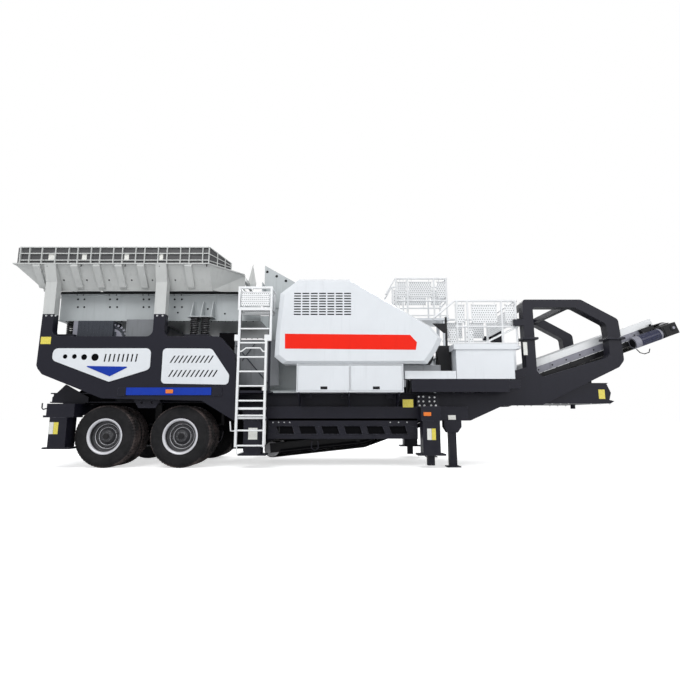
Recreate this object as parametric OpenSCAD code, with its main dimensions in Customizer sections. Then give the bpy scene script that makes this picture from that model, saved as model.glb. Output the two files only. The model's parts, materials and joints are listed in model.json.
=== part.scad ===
// Mobile jaw crushing plant carried on a two-axle semi-trailer.
// Millimetres. +X runs towards the discharge end, +Z is up and the near side is -Y.
// Stations along X are counted from a datum line across the middle of the chassis, and
// placed() shifts them so that the origin lies under the middle of the whole plant.

/* [Wheels] */
// Outer diameter of a tyre
tyre_d = 1080; // [1000:10:1100]
// Section width of a tyre
tyre_w = 290; // [260:5:300]
// Distance between the two tyres of a dual wheel, centre to centre
dual_pitch = 340; // [325:5:360]
// Width over the outer faces of the tyres
track_w = 2500; // [2450:10:2550]
// Seat diameter of the rims
rim_d = 572; // [500:4:580]
// Station of the rear axle
axle_rear_x = -4110; // [-4160:10:-4080]
// Distance between the two axles
axle_pitch = 1320; // [1290:10:1360]
// Diameter of the wheel spindle
spindle_d = 100; // [80:5:120]

/* [Chassis] */
// Height of the top of the main beams
beam_top = 1310; // [1300:5:1320]
// Depth of the main beams between the wheels and the gooseneck
beam_depth = 500; // [460:10:520]
// Depth of the main beams over the wheels
beam_depth_rear = 180; // [150:10:190]
// Distance from the centre plane to the middle of a main beam
beam_y = 860; // [850:5:880]
// Flange width of the main beams
beam_w = 200; // [180:10:220]
// Thickness of the beam flanges
flange_t = 20; // [12:1:30]
// Thickness of the beam webs
web_t = 16; // [10:1:24]
// Width of the box rail under each side of the chassis
rail_w = 100; // [80:5:110]
// Height of that box rail
rail_h = 250; // [200:10:260]
// Height of the deck rail that carries the cabinets
deck_rail_h = 230; // [200:10:230]
// Height of the sill panels
sill_h = 360; // [320:10:380]
// Plate thickness of the sill panels
sill_t = 12; // [6:1:20]

/* [Gooseneck] */
// Height of the lower edge of the gooseneck over the coupling
neck_low_z = 1090; // [1060:10:1110]
// Height of the top of the arch
arch_top = 3070; // [3000:10:3150]
// Width of the arch posts
arch_post_w = 190; // [160:10:210]
// Height of the bolted joint in the arch posts
arch_joint_z = 2320; // [2250:10:2400]
// Thickness of the joint flanges
joint_t = 20; // [12:2:30]
// Height of the underside of the coupling plate
coupler_z = 1120; // [1115:1:1130]
// Station of the kingpin
kingpin_x = 4730; // [4600:10:4800]
// Neck diameter of the kingpin
kingpin_d = 88.9; // [60:0.1:90]
// Head diameter of the kingpin
kingpin_head_d = 114; // [100:1:120]

/* [Side frame and hopper] */
// Distance from the centre plane to the outer face of the side frames
side_y = 1400; // [1380:5:1420]
// Thickness of the side frames
side_t = 150; // [120:5:150]
// Height of the lower edge of the side frames
side_low_z = 1155; // [1140:5:1180]
// Height of the upper edge of the side frames
side_top_z = 2285; // [2200:5:2290]
// Height of the bolted joint of the hopper posts
post_joint_z = 2690; // [2600:10:2750]
// Width of the hopper posts
post_w = 200; // [160:10:220]
// Height of the lower edge of the hopper walls
hopper_low_z = 3190; // [3180:5:3250]
// Height of the hopper rim
hopper_rim_z = 3610; // [3580:5:3650]
// Height of the boards above the rim
board_h = 310; // [200:10:320]
// Plate thickness of the hopper walls
hopper_t = 12; // [8:1:20]
// Distance between the stiffeners of the hopper walls
rib_pitch = 398; // [380:2:400]
// Width of those stiffeners
rib_w = 125; // [80:5:150]
// Station of the rear edge of the hopper rim
hopper_rear_x = -5890; // [-5950:10:-5850]

/* [Feeder] */
// Distance from the centre plane to the outer face of the feeder trough
feeder_y = 950; // [900:5:960]
// Height of the underside of the feeder trough
feeder_low_z = 2650; // [2630:5:2680]
// Plate thickness of the trough sides
feeder_t = 20; // [10:1:25]
// Outer diameter of the feeder springs
spring_d = 165; // [120:5:170]
// Wire diameter of the feeder springs
spring_wire = 32; // [24:1:36]

/* [Crusher] */
// Distance from the centre plane to the outer face of the crusher side plates
crusher_y = 700; // [680:5:720]
// Thickness of the crusher side plates
crusher_t = 80; // [60:5:100]
// Station of the eccentric shaft
shaft_x = -380; // [-420:10:-340]
// Diameter of the eccentric shaft
shaft_d = 220; // [160:10:240]
// Diameter of the flywheels
flywheel_d = 1420; // [1320:20:1440]
// Width of the flywheels
flywheel_w = 240; // [180:10:260]
// Number of teeth across a jaw plate
jaw_teeth = 12; // [8:1:14]
// Distance from the centre plane to the face of the drive guards
guard_y = 1450; // [1430:5:1460]
// Depth of the drive guards
guard_depth = 450; // [400:10:460]
// Sheet thickness of the drive guards
guard_t = 10; // [6:1:14]

/* [Cabinets and platforms] */
// Distance from the centre plane to the face of the tool cabinet
cabinet_y = 1400; // [1380:5:1420]
// Depth of the tool cabinet
cabinet_depth = 350; // [300:10:350]
// Height of the tool cabinet
cabinet_h = 500; // [420:10:500]
// Sheet thickness of the tool cabinet and its doors
cabinet_t = 20; // [10:1:25]
// Height of the lids of the power cabinets
lid_top = 2165; // [2120:5:2180]
// Height of the front platform
front_deck_z = 2186; // [2170:2:2200]
// Height of the upper platform
upper_deck_z = 2957; // [2900:1:2980]
// Height of the guard rails above the platforms
guard_rail_h = 900; // [800:10:950]
// Diameter of the rail tubes
tube_d = 42; // [34:1:48]

/* [Supports] */
// Side of the square jack housings
jack_w = 300; // [260:10:320]
// Side of the square jack legs
jack_leg_w = 120; // [100:5:150]
// Distance that the front jacks are run out
front_jack_out = 170; // [100:10:175]
// Distance between a jack leg and its housing
jack_gap = 0.5; // [0.3:0.1:1]
// Side of the landing legs
leg_w = 130; // [110:5:140]

/* [Ladder] */
// Width of the lower ladder over its rails
ladder_w = 520; // [450:10:560]
// Distance between the rungs
rung_pitch = 253; // [240:1:260]
// Number of rungs
rung_count = 9; // [8:1:9]

/* [Conveyor] */
// Slope of the discharge conveyor in degrees
belt_slope = 19.5; // [19:0.1:20]
// Slope of its tail section in degrees
tail_slope = 6.1; // [6:0.1:6.6]
// Depth of the conveyor channels
channel_h = 170; // [140:5:190]
// Width of the belt
belt_w = 1000; // [900:10:1020]
// Thickness of the belt
belt_t = 14; // [8:1:18]
// Diameter of the head drum without the belt
drum_d = 280; // [240:10:290]
// Station of the head drum
drum_x = 6400; // [6380:5:6450]
// Height of the head drum
drum_z = 2570; // [2550:5:2600]

/* [Hidden] */
$fn = 48;
arc_steps = 6;      // flats in a rounded corner of a plate
touch = 0.3;        // gap that keeps curved or moving neighbours apart
wheel_gap = 0.05;   // radial play of a spindle in its hub
move_gap = 6;       // play round a door
tyre_r = tyre_d / 2;
axle_xs = [axle_rear_x, axle_rear_x + axle_pitch];
beam_out = beam_y + beam_w / 2;
beam_in = beam_y - beam_w / 2;
beam_low = beam_top - beam_depth;
beam_rear_low = beam_top - beam_depth_rear;
rail_out = beam_out + rail_w;
rail_top = beam_low + rail_h;
splice_x = 1500;
chassis_rear_x = -5300;
deck_top = beam_top + deck_rail_h;
side_in = side_y - side_t;
rear_post_x = -5315;
front_post_x = -3325;
hopper_front_x = -2360;
hopper_end_x = -1850;
wall_low_y = 1170;
wall_top_y = 1440;
rim_y = 1500;
rim_t = 20;
wall_top_z = hopper_rim_z - rim_t;
wall_slope = (wall_top_y - wall_low_y) / (wall_top_z - hopper_low_z);
wall_rear_x = -5470;
throat_y = 760;
board_top = hopper_rim_z + board_h;
board_y = 1450;
board_run = 0.6;     // share of the hopper's corner that its board covers
feeder_rear_x = -5290;
feeder_front_x = -1500;
seat_z = 2350;
bracket_z = 2690;
front_spring_xs = [-2690, -2490];
front_spring_y = 1080;
rear_spring_xs = [-5108, -4930];
rear_spring_y = 850;
guard_in = guard_y - guard_depth;
wheel_r = flywheel_d / 2;
motor_x = 1480;
motor_z = 2010;
motor_d = 520;
cabinet_low_z = 1300;
cabinet_top_z = cabinet_low_z + cabinet_h;
shaft_z = cabinet_top_z + guard_t + wheel_r;
guard_top = shaft_z + wheel_r + 105;
guard_rear = shaft_x - wheel_r - 65;
jaw_top = [shaft_x - 270, shaft_z + 270];
jaw_lean = 14.5;
leaf_out = track_w / 2 - dual_pitch - tyre_w - 50;
leaf_in = leaf_out - 80;
cabinet_rear_x = -760;
cabinet_front_x = 1110;
bay_mid_x = (cabinet_rear_x + cabinet_front_x) / 2;
door_pin_d = 12;
door_pin_y = cabinet_y - cabinet_t / 2;
door_pin_z = cabinet_top_z - cabinet_t - 20;
jack_xs = [-4880, -1515, 1580];
jack_y = 1200;
rear_beam_z = [903, 1105];
jack_tops = [rear_beam_z[0] - 35, beam_low, beam_low];
jack_lows = [330, 220, 220];
flange_w = 480;
plate_t = 30;
leg_x = 2010;
leg_y = 1000;
landing_x = [guard_rear - 666, guard_rear - 52];
landing_z = 2780;
ladder_x = landing_x[0] + 21;
ladder_y = 1450;
ladder_low_z = 370;
ladder_joint_z = 2200;
drum_r = drum_d / 2;
belt_r = drum_r + belt_t;
bend_x = 430;
bend_z = drum_z - (drum_x - bend_x) * tan(belt_slope);
tail_x = -1280;
tail_z = bend_z - (bend_x - tail_x) * tan(tail_slope);
incline_l = (drum_x - bend_x) / cos(belt_slope);
channel_y = belt_w / 2 + 100;
channel_in = channel_y - 40;
channel_low = -60;
channel_top = channel_low + channel_h;
plant_mid_x = (hopper_rear_x + drum_x + belt_r * cos(belt_slope - 15)) / 2;

// Moves the stations to the row's origin.
module placed() {
    translate([-plant_mid_x, 0, 0]) children();
}

// The near side and its mirror image on the far side.
module both_sides() {
    children();
    mirror([0, 1, 0]) children();
}

// A profile in X and Z, run from y0 to y1.
module across(y0, y1) {
    translate([0, y1, 0]) rotate([90, 0, 0]) linear_extrude(y1 - y0) children();
}

// A profile in Y and Z, run from x0 to x1.
module along(x0, x1) {
    translate([x0, 0, 0]) rotate([90, 0, 90]) linear_extrude(x1 - x0) children();
}

// A box from its lowest to its highest corner.
module block(low, high) {
    translate(low) cube(high - low);
}

// A cylinder along Y from y0 to y1, round the point [x, z].
module bar_y(p, d, y0, y1) {
    translate([p[0], y1, p[1]]) rotate([90, 0, 0]) cylinder(d = d, h = y1 - y0);
}

// A cylinder along X from x0 to x1, round the point [y, z].
module bar_x(p, d, x0, x1) {
    translate([x0, p[0], p[1]]) rotate([0, 90, 0]) cylinder(d = d, h = x1 - x0);
}

// The arc that rounds the corner p between its neighbours a and b.
function corner(p, a, b, r) =
    let (u = (a - p) / norm(a - p), v = (b - p) / norm(b - p),
         half = acos(u * v) / 2,
         centre = p + (u + v) / norm(u + v) * r / sin(half),
         start = p + u * r / tan(half) - centre,
         end = p + v * r / tan(half) - centre,
         from = atan2(start[1], start[0]),
         turn = atan2(end[1], end[0]) - from,
         sweep = turn > 180 ? turn - 360 : turn < -180 ? turn + 360 : turn)
    [for (i = [0:arc_steps]) let (t = from + sweep * i / arc_steps)
        centre + r * [cos(t), sin(t)]];

// An outline given as [x, y, radius], with each corner rounded by its own radius.
function rounded(pts) =
    let (n = len(pts), xy = [for (p = pts) [p[0], p[1]]])
    [for (i = [0:n - 1]) let (p = xy[i], r = pts[i][2])
        each (r > 0 ? corner(p, xy[(i + n - 1) % n], xy[(i + 1) % n], r) : [p])];

// The lower edge of the main beams.
beam_edge = [[chassis_rear_x, beam_rear_low], [-2150, beam_rear_low], [-1700, beam_low],
    [splice_x, beam_low]];

module main_beams() {
    n = len(beam_edge);
    color([0.09, 0.1, 0.14]) placed() both_sides() {
        across(-beam_y - web_t / 2, -beam_y + web_t / 2)
            polygon(concat(beam_edge, [[splice_x, beam_top], [chassis_rear_x, beam_top]]));
        across(-beam_out, -beam_in)
            polygon(concat(beam_edge,
                [for (i = [n - 1:-1:0]) beam_edge[i] + [0, flange_t]]));
        block([chassis_rear_x, -beam_out, beam_top - flange_t],
            [splice_x, -beam_in, beam_top]);
        block([splice_x - flange_t, -beam_out, beam_low], [splice_x, -beam_in, beam_top]);
        across(-beam_out - flange_t, -beam_out)
            polygon([[-5252, 1125], [-4590, 1125], [-4590, 1229], [-5025, 1463], [-5252, 1229]]);
    }
}

// A cross member between the webs of the main beams.
module cross_box(x0, x1, z0, z1) {
    block([x0, -beam_in, z0], [x1, beam_in, z1]);
}

module cross_members() {
    color([0.09, 0.1, 0.14]) placed() {
        for (x = [-5250, -4700, -3450, -2200])
            cross_box(x - 50, x + 50, beam_rear_low, beam_top);
        cross_box(-1640, -1560, beam_low, beam_top);
        for (x = [300, 800])
            cross_box(x, x + 80, beam_top - 250, beam_top);
        cross_box(3000, 3100, 1085, 1190);
        block([1040, -beam_out, beam_top], [1140, beam_out, beam_top + 100]);
        block([-5100, -1350, rear_beam_z[0]], [-4620, 1350, rear_beam_z[1]]);
        block([-5060, -beam_out, rear_beam_z[1]], [-4660, beam_out, beam_rear_low]);
        both_sides()
            block([-5150, -1350, jack_tops[0]], [-4624, -1050, rear_beam_z[0]]);
    }
}

module chassis_rails() {
    color([0.1, 0.11, 0.15]) placed() both_sides() {
        block([-1700, -rail_out, beam_low], [2300, -beam_out, rail_top]);
        block([1270, -1300, beam_top], [2990, -1100, deck_top]);
        block([2990, -1290, beam_top + 60], [3190, -1120, deck_top - 20]);
        block([1387, -rail_out, rail_top], [1775, -rail_out + sill_t, 1260]);
        for (x = [1300, 2150, 2560])
            block([x, -1100, beam_top], [x + 80, -beam_in, deck_top]);
    }
}

module sill_panels() {
    low = beam_low - sill_h;
    y = rail_out - sill_t;
    color([0.08, 0.08, 0.1]) placed() both_sides() {
        difference() {
            block([-1290, -rail_out, low], [1390, -y, beam_low]);
            for (i = [0:5])
                across(-rail_out - 1, -y + 1)
                    polygon([[-1110 + 378 * i, 720], [-770 + 378 * i, 720],
                        [-730 + 378 * i, 590], [-1070 + 378 * i, 590]]);
        }
        block([-1290, -y, low], [1390, -y + 60, low + sill_t]);
        for (x = [-1290, 1390 - sill_t])
            block([x, -y, low + sill_t], [x + sill_t, -beam_out, beam_low]);
    }
}

module outriggers() {
    color([0.09, 0.1, 0.14]) placed() both_sides() {
        for (x = [-4080, -3490, -2560])
            block([x, -side_in, side_low_z + 40], [x + 100, -beam_out, beam_top]);
        for (x = [-730, 150, 1020])
            along(x, x + flange_t)
                polygon([[-beam_out, rail_top], [-rail_out, rail_top], [-1390, 1240],
                    [-1390, cabinet_low_z], [-beam_out, cabinet_low_z]]);
        for (x = [jack_xs[1], jack_xs[2]])
            block([x - 170, -1350, beam_low], [x + 170, -rail_out, rail_top]);
        for (y = [leg_y - leg_w / 2 - 20, leg_y + leg_w / 2])
            across(-y - 20, -y)
                polygon([[leg_x - 150, beam_low], [leg_x + 160, beam_low],
                    [leg_x + 160, 700], [leg_x + 90, 600], [leg_x - 90, 600],
                    [leg_x - 150, 700]]);
    }
}

// The side of the gooseneck below the bolted joint.
neck_knee = [3700, neck_low_z];
neck_tip = [5170, 1785];
neck_outline = rounded([[splice_x, beam_low, 0], [2370, beam_low, 80], [2980, 1080, 80],
    [neck_knee[0], neck_knee[1], 80], [neck_tip[0], neck_tip[1], 100], [5270, 1910, 100],
    [5255, arch_joint_z - joint_t, 0], [5020, arch_joint_z - joint_t, 0],
    [5020, 2010, 60], [4930, 1950, 60], [3740, 1600, 60], [3640, 1710, 60],
    [3640, arch_joint_z - joint_t, 0], [3450, arch_joint_z - joint_t, 0],
    [3455, 1730, 60], [3190, 1580, 100], [2700, beam_top, 100], [splice_x, beam_top, 0]]);

module goosenecks() {
    color([0.09, 0.1, 0.14]) placed() both_sides() {
        across(-beam_out, -beam_in) polygon(neck_outline);
        for (x = [3400, 4970])
            block([x, -beam_out - 50, arch_joint_z - joint_t],
                [x + arch_post_w + 100 + (x > 4000 ? 45 : 0), -beam_in + 50, arch_joint_z]);
        across(-beam_out - sill_t, -beam_out)
            polygon([[3231, 1720], [3449, 1786], [3422, 1621], [3237, 1556]]);
    }
}

arch_outline = rounded([[3450, arch_joint_z + joint_t, 0], [3450, arch_top, 60],
    [4560, arch_top, 100], [5230, 2690, 100], [5255, arch_joint_z + joint_t, 0],
    [5020, arch_joint_z + joint_t, 0], [5000, 2600, 80], [4430, 2920, 80],
    [3640, 2920, 60], [3640, arch_joint_z + joint_t, 0]]);

module arches() {
    color([0.09, 0.1, 0.14]) placed() {
        both_sides() {
            across(-beam_out, -beam_in) polygon(arch_outline);
            for (x = [3400, 4970])
                block([x, -beam_out - 50, arch_joint_z],
                    [x + arch_post_w + 100 + (x > 4000 ? 45 : 0), -beam_in + 50,
                    arch_joint_z + joint_t]);
            block([3267, -beam_out, 2570], [3450, -beam_out + 60, 2688]);
        }
        for (x = [3500, 4350])
            block([x, -beam_in, 2950], [x + 100, beam_in, 3050]);
    }
}

module coupler_box() {
    slope = (neck_tip[1] - neck_knee[1]) / (neck_tip[0] - neck_knee[0]);
    x0 = neck_knee[0] + (coupler_z - neck_knee[1]) / slope + 2 * touch;
    x1 = neck_knee[0] + (1500 - neck_knee[1]) / slope + 2 * touch;
    pin_h = 72;
    color([0.09, 0.1, 0.14]) placed() {
        across(-850, 850)
            polygon([[x0, coupler_z], [5010, coupler_z], [5081, coupler_z + 43],
                [4993, coupler_z + 67], [5031, 1317], [4964, 1481], [4999, 1500], [x1, 1500]]);
        translate([kingpin_x, 0, coupler_z - 12]) cylinder(d = kingpin_head_d, h = 12);
        translate([kingpin_x, 0, coupler_z - 12 - pin_h]) cylinder(d = kingpin_d, h = pin_h);
    }
}

side_outline = rounded([[rear_post_x, post_joint_z, 0], [-5330, 1770, 0],
    [-5301, 1709, 60], [-5215, 1611, 60], [-4139, side_low_z + 40, 100],
    [-2400, side_low_z, 60], [-1818, 809, 0], [-1820, 1700, 0], [-1860, 1980, 100],
    [-2120, side_top_z, 120], [-3125, side_top_z, 120], [-3125, post_joint_z, 0],
    [-3325, post_joint_z, 0], [-3325, side_top_z, 120], [-5115, side_top_z, 120],
    [-5115, post_joint_z, 0]]);

panel_a = rounded([[-5050, 2070, 90], [-3330, 2070, 90], [-3330, 1700, 90],
    [-4030, 1480, 60], [-5060, 1860, 90]]);

panel_b = rounded([[-3120, 2070, 70], [-2260, 2065, 90], [-1935, 1600, 90],
    [-1945, 1430, 70], [-3120, 1450, 70]]);

module side_frames() {
    color([0.1, 0.11, 0.15]) placed() both_sides() {
        difference() {
            across(-side_y, -side_in) polygon(side_outline);
            across(-side_y - 1, -side_in + 1)
                polygon(rounded([[-4960, 2010, 60], [-3420, 2010, 60], [-3420, 1760, 60],
                    [-4040, 1560, 40], [-4960, 1880, 60]]));
            across(-side_y - 1, -side_in + 1)
                polygon(rounded([[-3040, 2000, 60], [-2300, 2000, 60], [-2020, 1620, 60],
                    [-2020, 1520, 60], [-3040, 1520, 60]]));
        }
        difference() {
            across(-side_in - 60, -side_in - 40)
                polygon([[-3608, side_low_z + 50], [-3608, side_low_z], [-3524, side_low_z - 125],
                    [-3231, side_low_z - 125], [-3155, side_low_z], [-3155, side_low_z + 50]]);
            for (x = [-3472, -3296])
                bar_y([x, side_low_z - 30], 44, -side_in - 61, -side_in - 39);
        }
        for (x = [[-3854, -3716], [-2220, -2050]])
            block([x[0], -side_y - 20, side_low_z + 81], [x[1], -side_y, side_low_z + 218]);
    }
}

// A slanted slot of a vent panel with its lower end round the station x.
module vent_slot(x, z0, z1, lean) {
    w = 13;
    across(-side_y - 11, -side_y + 1)
        polygon([[x - w, z0], [x + w, z0], [x + lean + w, z1], [x + lean - w, z1]]);
}

module vent_panels() {
    color([0.9, 0.91, 0.92]) placed() both_sides() {
        difference() {
            across(-side_y - 10, -side_y) polygon(panel_a);
            for (h = [[-4833, 1924, 80], [-4670, 1924, 84], [-4498, 1913, 104],
                [-4307, 1910, 130]])
                bar_y([h[0], h[1]], h[2], -side_y - 11, -side_y + 1);
            for (i = [0:7])
                vent_slot(-4137 + 78.5 * i, 1832, 1970, 20);
        }
        difference() {
            across(-side_y - 10, -side_y) polygon(panel_b);
            for (i = [0:9])
                vent_slot(-2978 + 74.6 * i, 1812, 1940, 76);
            for (i = [0:10])
                vent_slot(-2992 + 77.2 * i, 1565, 1686, 71);
        }
    }
}

module blue_trim() {
    color([0.05, 0.2, 0.75]) placed() both_sides() {
        block([-3710, -side_y - 20, side_low_z + 94], [-2234, -side_y, side_low_z + 225]);
        across(-side_y - 16, -side_y - 10)
            polygon(rounded([[-4475, 1758, 10], [-3700, 1744, 10], [-4022, 1574, 10]]));
    }
}

module hopper_posts() {
    bend_top = wall_top_z;
    color([0.78, 0.78, 0.76]) placed() both_sides() {
        for (x = [rear_post_x, front_post_x])
            along(x, x + post_w)
                polygon([[-side_in, post_joint_z], [-side_y, post_joint_z],
                    [-side_y, 3280], [-1498, bend_top],
                    [-1463, bend_top], [-side_in - 8, 3280]]);
    }
}

// The plan of a hopper wall, clipped to the slanted ends.
module hopper_sides() {
    color([0.75, 0.75, 0.73]) placed() both_sides() {
        intersection() {
            along(hopper_rear_x, hopper_front_x)
                polygon([[-wall_low_y, hopper_low_z], [-wall_low_y - 14, hopper_low_z],
                    [-wall_top_y - 14, wall_top_z], [-wall_top_y, wall_top_z]]);
            across(-rim_y, -wall_low_y)
                polygon([[wall_rear_x, hopper_low_z], [hopper_front_x, hopper_low_z],
                    [hopper_front_x, wall_top_z], [-5870, wall_top_z]]);
        }
        for (x = [-5530, -4850, -4452, -4054, -3656, -2800])
            along(x, x + rib_w)
                polygon([[-wall_low_y - 14 - 30 * wall_slope, hopper_low_z + 30],
                    [-wall_low_y - 60 - 30 * wall_slope, hopper_low_z + 30],
                    [-rim_y + 10, wall_top_z - 40], [-rim_y + 10, wall_top_z],
                    [-wall_top_y - 14, wall_top_z]]);
        block([hopper_rear_x, -rim_y, wall_top_z], [hopper_front_x, -wall_top_y, hopper_rim_z]);
        block([wall_rear_x, -wall_low_y - 40, hopper_low_z - 15],
            [hopper_front_x, -wall_low_y + 10, hopper_low_z]);
    }
}

module hopper_rear_wall() {
    color([0.75, 0.75, 0.73]) placed() {
        intersection() {
            across(-wall_top_y, wall_top_y)
                polygon([[wall_rear_x, hopper_low_z], [wall_rear_x + 14, hopper_low_z],
                    [-5856, wall_top_z], [-5870, wall_top_z]]);
            along(-5880, wall_rear_x + 20)
                polygon([[-wall_low_y, hopper_low_z], [wall_low_y, hopper_low_z],
                    [wall_top_y, wall_top_z], [-wall_top_y, wall_top_z]]);
        }
        block([hopper_rear_x, -wall_top_y, wall_top_z],
            [hopper_rear_x + 60, wall_top_y, hopper_rim_z]);
        block([wall_rear_x - 30, -wall_low_y + 10, hopper_low_z - 15],
            [wall_rear_x + 14, wall_low_y - 10, hopper_low_z]);
    }
}

// A flat plate through four corners, thickened by the vector off.
module quad_plate(a, b, c, d, off) {
    polyhedron(points = [a, b, c, d, a + off, b + off, c + off, d + off],
        faces = [[0, 1, 2], [0, 2, 3], [6, 5, 4], [7, 6, 4], [0, 4, 5], [0, 5, 1],
            [1, 5, 6], [1, 6, 2], [2, 6, 7], [2, 7, 3], [3, 7, 4], [3, 4, 0]]);
}

module hopper_corners() {
    x0 = hopper_front_x;
    color([0.75, 0.75, 0.73]) placed() both_sides() {
        quad_plate([x0, -wall_low_y, hopper_low_z], [hopper_end_x, -throat_y, hopper_low_z],
            [hopper_end_x, -throat_y, wall_top_z], [x0, -wall_top_y, wall_top_z],
            [0, -14, 0]);
        translate([0, 0, wall_top_z]) linear_extrude(rim_t)
            polygon([[x0, -wall_top_y], [hopper_end_x, -throat_y],
                [hopper_end_x, -throat_y - 75], [x0, -rim_y]]);
    }
    color([0.75, 0.75, 0.73]) placed() {
        block([hopper_end_x - 60, -throat_y + touch, 3500], [hopper_end_x, throat_y - touch, 3577]);
        across(-320, -300)
            polygon([[hopper_end_x - 40, 3577], [hopper_end_x + 131, 3577], [hopper_end_x + 55, 3986]]);
        block([hopper_end_x, -320, 3500], [hopper_end_x + 131, -300, 3577]);
    }
}

module top_boards() {
    y0 = board_y + 8;
    first = -5156;
    pitch = 404;
    width = 243;
    corner_end = [hopper_front_x, -board_y] +
        board_run * [hopper_end_x - hopper_front_x, board_y - throat_y - 26];
    color([0.3, 0.3, 0.31]) placed() {
        both_sides() {
            block([-5790, -y0, hopper_rim_z], [hopper_front_x, -board_y, board_top]);
            quad_plate([hopper_front_x, -board_y, hopper_rim_z],
                [corner_end[0], corner_end[1], hopper_rim_z],
                [corner_end[0], corner_end[1], hopper_rim_z + 0.45 * board_h],
                [hopper_front_x, -board_y, board_top], [0, -8, 0]);
            for (z = [hopper_rim_z + 50, hopper_rim_z + 0.57 * board_h, board_top - 16])
                block([-5790, -y0 - 26, z], [hopper_front_x, -y0, z + 16]);
            for (x = [-5790, -5624, -5400, -2376])
                board_rib(x);
            for (i = [0:6])
                for (dx = [0, width])
                    board_rib(first + pitch * i + dx);
        }
        block([-5850, -1442, hopper_rim_z], [-5842, 1442, board_top]);
    }
}

module board_rib(x) {
    block([x, -board_y - 38, hopper_rim_z], [x + 16, -board_y - 8, board_top]);
}

module feeder_trough() {
    color([0.72, 0.73, 0.74]) placed() {
        block([feeder_rear_x, -feeder_y + feeder_t, feeder_low_z],
            [feeder_front_x, feeder_y - feeder_t, feeder_low_z + 30]);
        block([feeder_rear_x, -feeder_y + feeder_t, feeder_low_z + 30],
            [feeder_rear_x + 20, feeder_y - feeder_t, hopper_low_z - 20]);
        both_sides() feeder_side();
    }
}

// A side of the feeder trough with its flanges and spring brackets.
module feeder_side() {
    block([feeder_rear_x, -feeder_y, feeder_low_z],
        [feeder_front_x, -feeder_y + feeder_t, hopper_low_z - 20]);
    block([feeder_rear_x, -feeder_y - 40, hopper_low_z - 40],
        [feeder_front_x, -feeder_y, hopper_low_z - 20]);
    block([feeder_rear_x, -feeder_y - 40, feeder_low_z],
        [feeder_front_x, -feeder_y, feeder_low_z + 16]);
    block([-2810, -1180, bracket_z], [-2340, -feeder_y, bracket_z + 16]);
    for (x = [-2753, -2567, -2381])
        along(x, x + 12)
            polygon([[-feeder_y, bracket_z + 16], [-1170, bracket_z + 16],
                [-1040, 3009], [-feeder_y, 3009]]);
}

// One coil spring with its core, as high as h.
module spring(p, h) {
    n = 8;
    translate([p[0], p[1], seat_z]) rotate_extrude() {
        polygon([[0, 0], [spring_d / 2 - spring_wire, 0],
            [spring_d / 2 - spring_wire, h], [0, h]]);
        for (i = [0:n - 1])
            translate([spring_d / 2 - spring_wire / 2 - 2, (i + 0.5) * h / n])
                circle(d = spring_wire + 4, $fn = 16);
    }
}

module feeder_springs() {
    color([0.06, 0.06, 0.07]) placed() both_sides() {
        for (x = front_spring_xs)
            spring([x, -front_spring_y], bracket_z - seat_z);
        for (x = rear_spring_xs)
            spring([x, -rear_spring_y], feeder_low_z - seat_z);
    }
}

module feeder_seats() {
    color([0.1, 0.11, 0.15]) placed() {
        both_sides() {
            block([-2820, -side_in, 2200], [-2360, -front_spring_y + 90, seat_z]);
            block([-5230, -side_in, 2200], [-4810, -rear_spring_y + 90, seat_z]);
        }
        for (x = [-4650, -3225])
            block([x, -side_in, 2150], [x + 120, side_in, side_top_z]);
    }
}

module feeder_drive() {
    color([0.08, 0.12, 0.3]) placed() {
        block([-4680, -1140, side_top_z], [-4020, -700, side_top_z + 20]);
        bar_x([-1000, 2470], 290, -4560, -4160);
        for (i = [0:9])
            bar_x([-1000, 2470], 310, -4540 + 36 * i, -4524 + 36 * i);
        block([-4600, -1120, side_top_z + 20], [-4120, -880, 2420]);
        block([-3900, -480, 2380], [-3400, 480, feeder_low_z]);
        bar_y([-3770, 2500], 90, -800, -480);
        bar_y([-3770, 2500], 280, -880, -800);
    }
}

module feed_chute() {
    color([0.62, 0.63, 0.64]) placed() {
        both_sides() {
            across(-715, -700)
                polygon([[-1480, 2960], [-1480, 3823], [-700, 3375], [-700, 2960]]);
            block([-1480, -1000, 2960], [-1465, -715, 3400]);
        }
        block([-715, -700, 2960], [-700, 700, 3375]);
    }
}

crusher_outline = [[-1380, 1350], [-1380, 2300], [-1300, 2960], [-680, 2960],
    [shaft_x - 260, shaft_z + 330], [shaft_x + 320, shaft_z + 330],
    [shaft_x + 440, shaft_z - 20], [400, 2350], [400, 1350]];

module crusher_side() {
    difference() {
        across(-crusher_y, -crusher_y + crusher_t) polygon(crusher_outline);
        bar_y([shaft_x, shaft_z], shaft_d + 2 * touch, -crusher_y - 1, -600);
    }
    difference() {
        bar_y([shaft_x, shaft_z], 560, -880, -crusher_y);
        bar_y([shaft_x, shaft_z], shaft_d + 2 * touch, -881, -crusher_y + 1);
    }
    block([-1380, -beam_out, beam_top], [400, -crusher_y + crusher_t, 1350]);
    for (x = [-1380, -800, 340])
        block([x, -900, 1350], [x + 40, -crusher_y, 2050]);
}

module crusher_frame() {
    y = crusher_y - crusher_t;
    color([0.58, 0.59, 0.6]) placed() {
        both_sides() crusher_side();
        block([-1380, -y, 1350], [-1270, y, 2900]);
        block([280, -y, 1500], [400, y, 2300]);
        block([-1270, -y, 1350], [-1180, y, 1480]);
    }
}

// A toothed jaw plate, as a profile in X and Y, with its teeth towards +X.
module jaw_profile(w) {
    p = w / jaw_teeth;
    polygon(concat([[0, 0]], [for (i = [0:jaw_teeth - 1])
        each [[50, p * i], [90, p * (i + 0.5)]]], [[50, w], [0, w]]));
}

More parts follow.
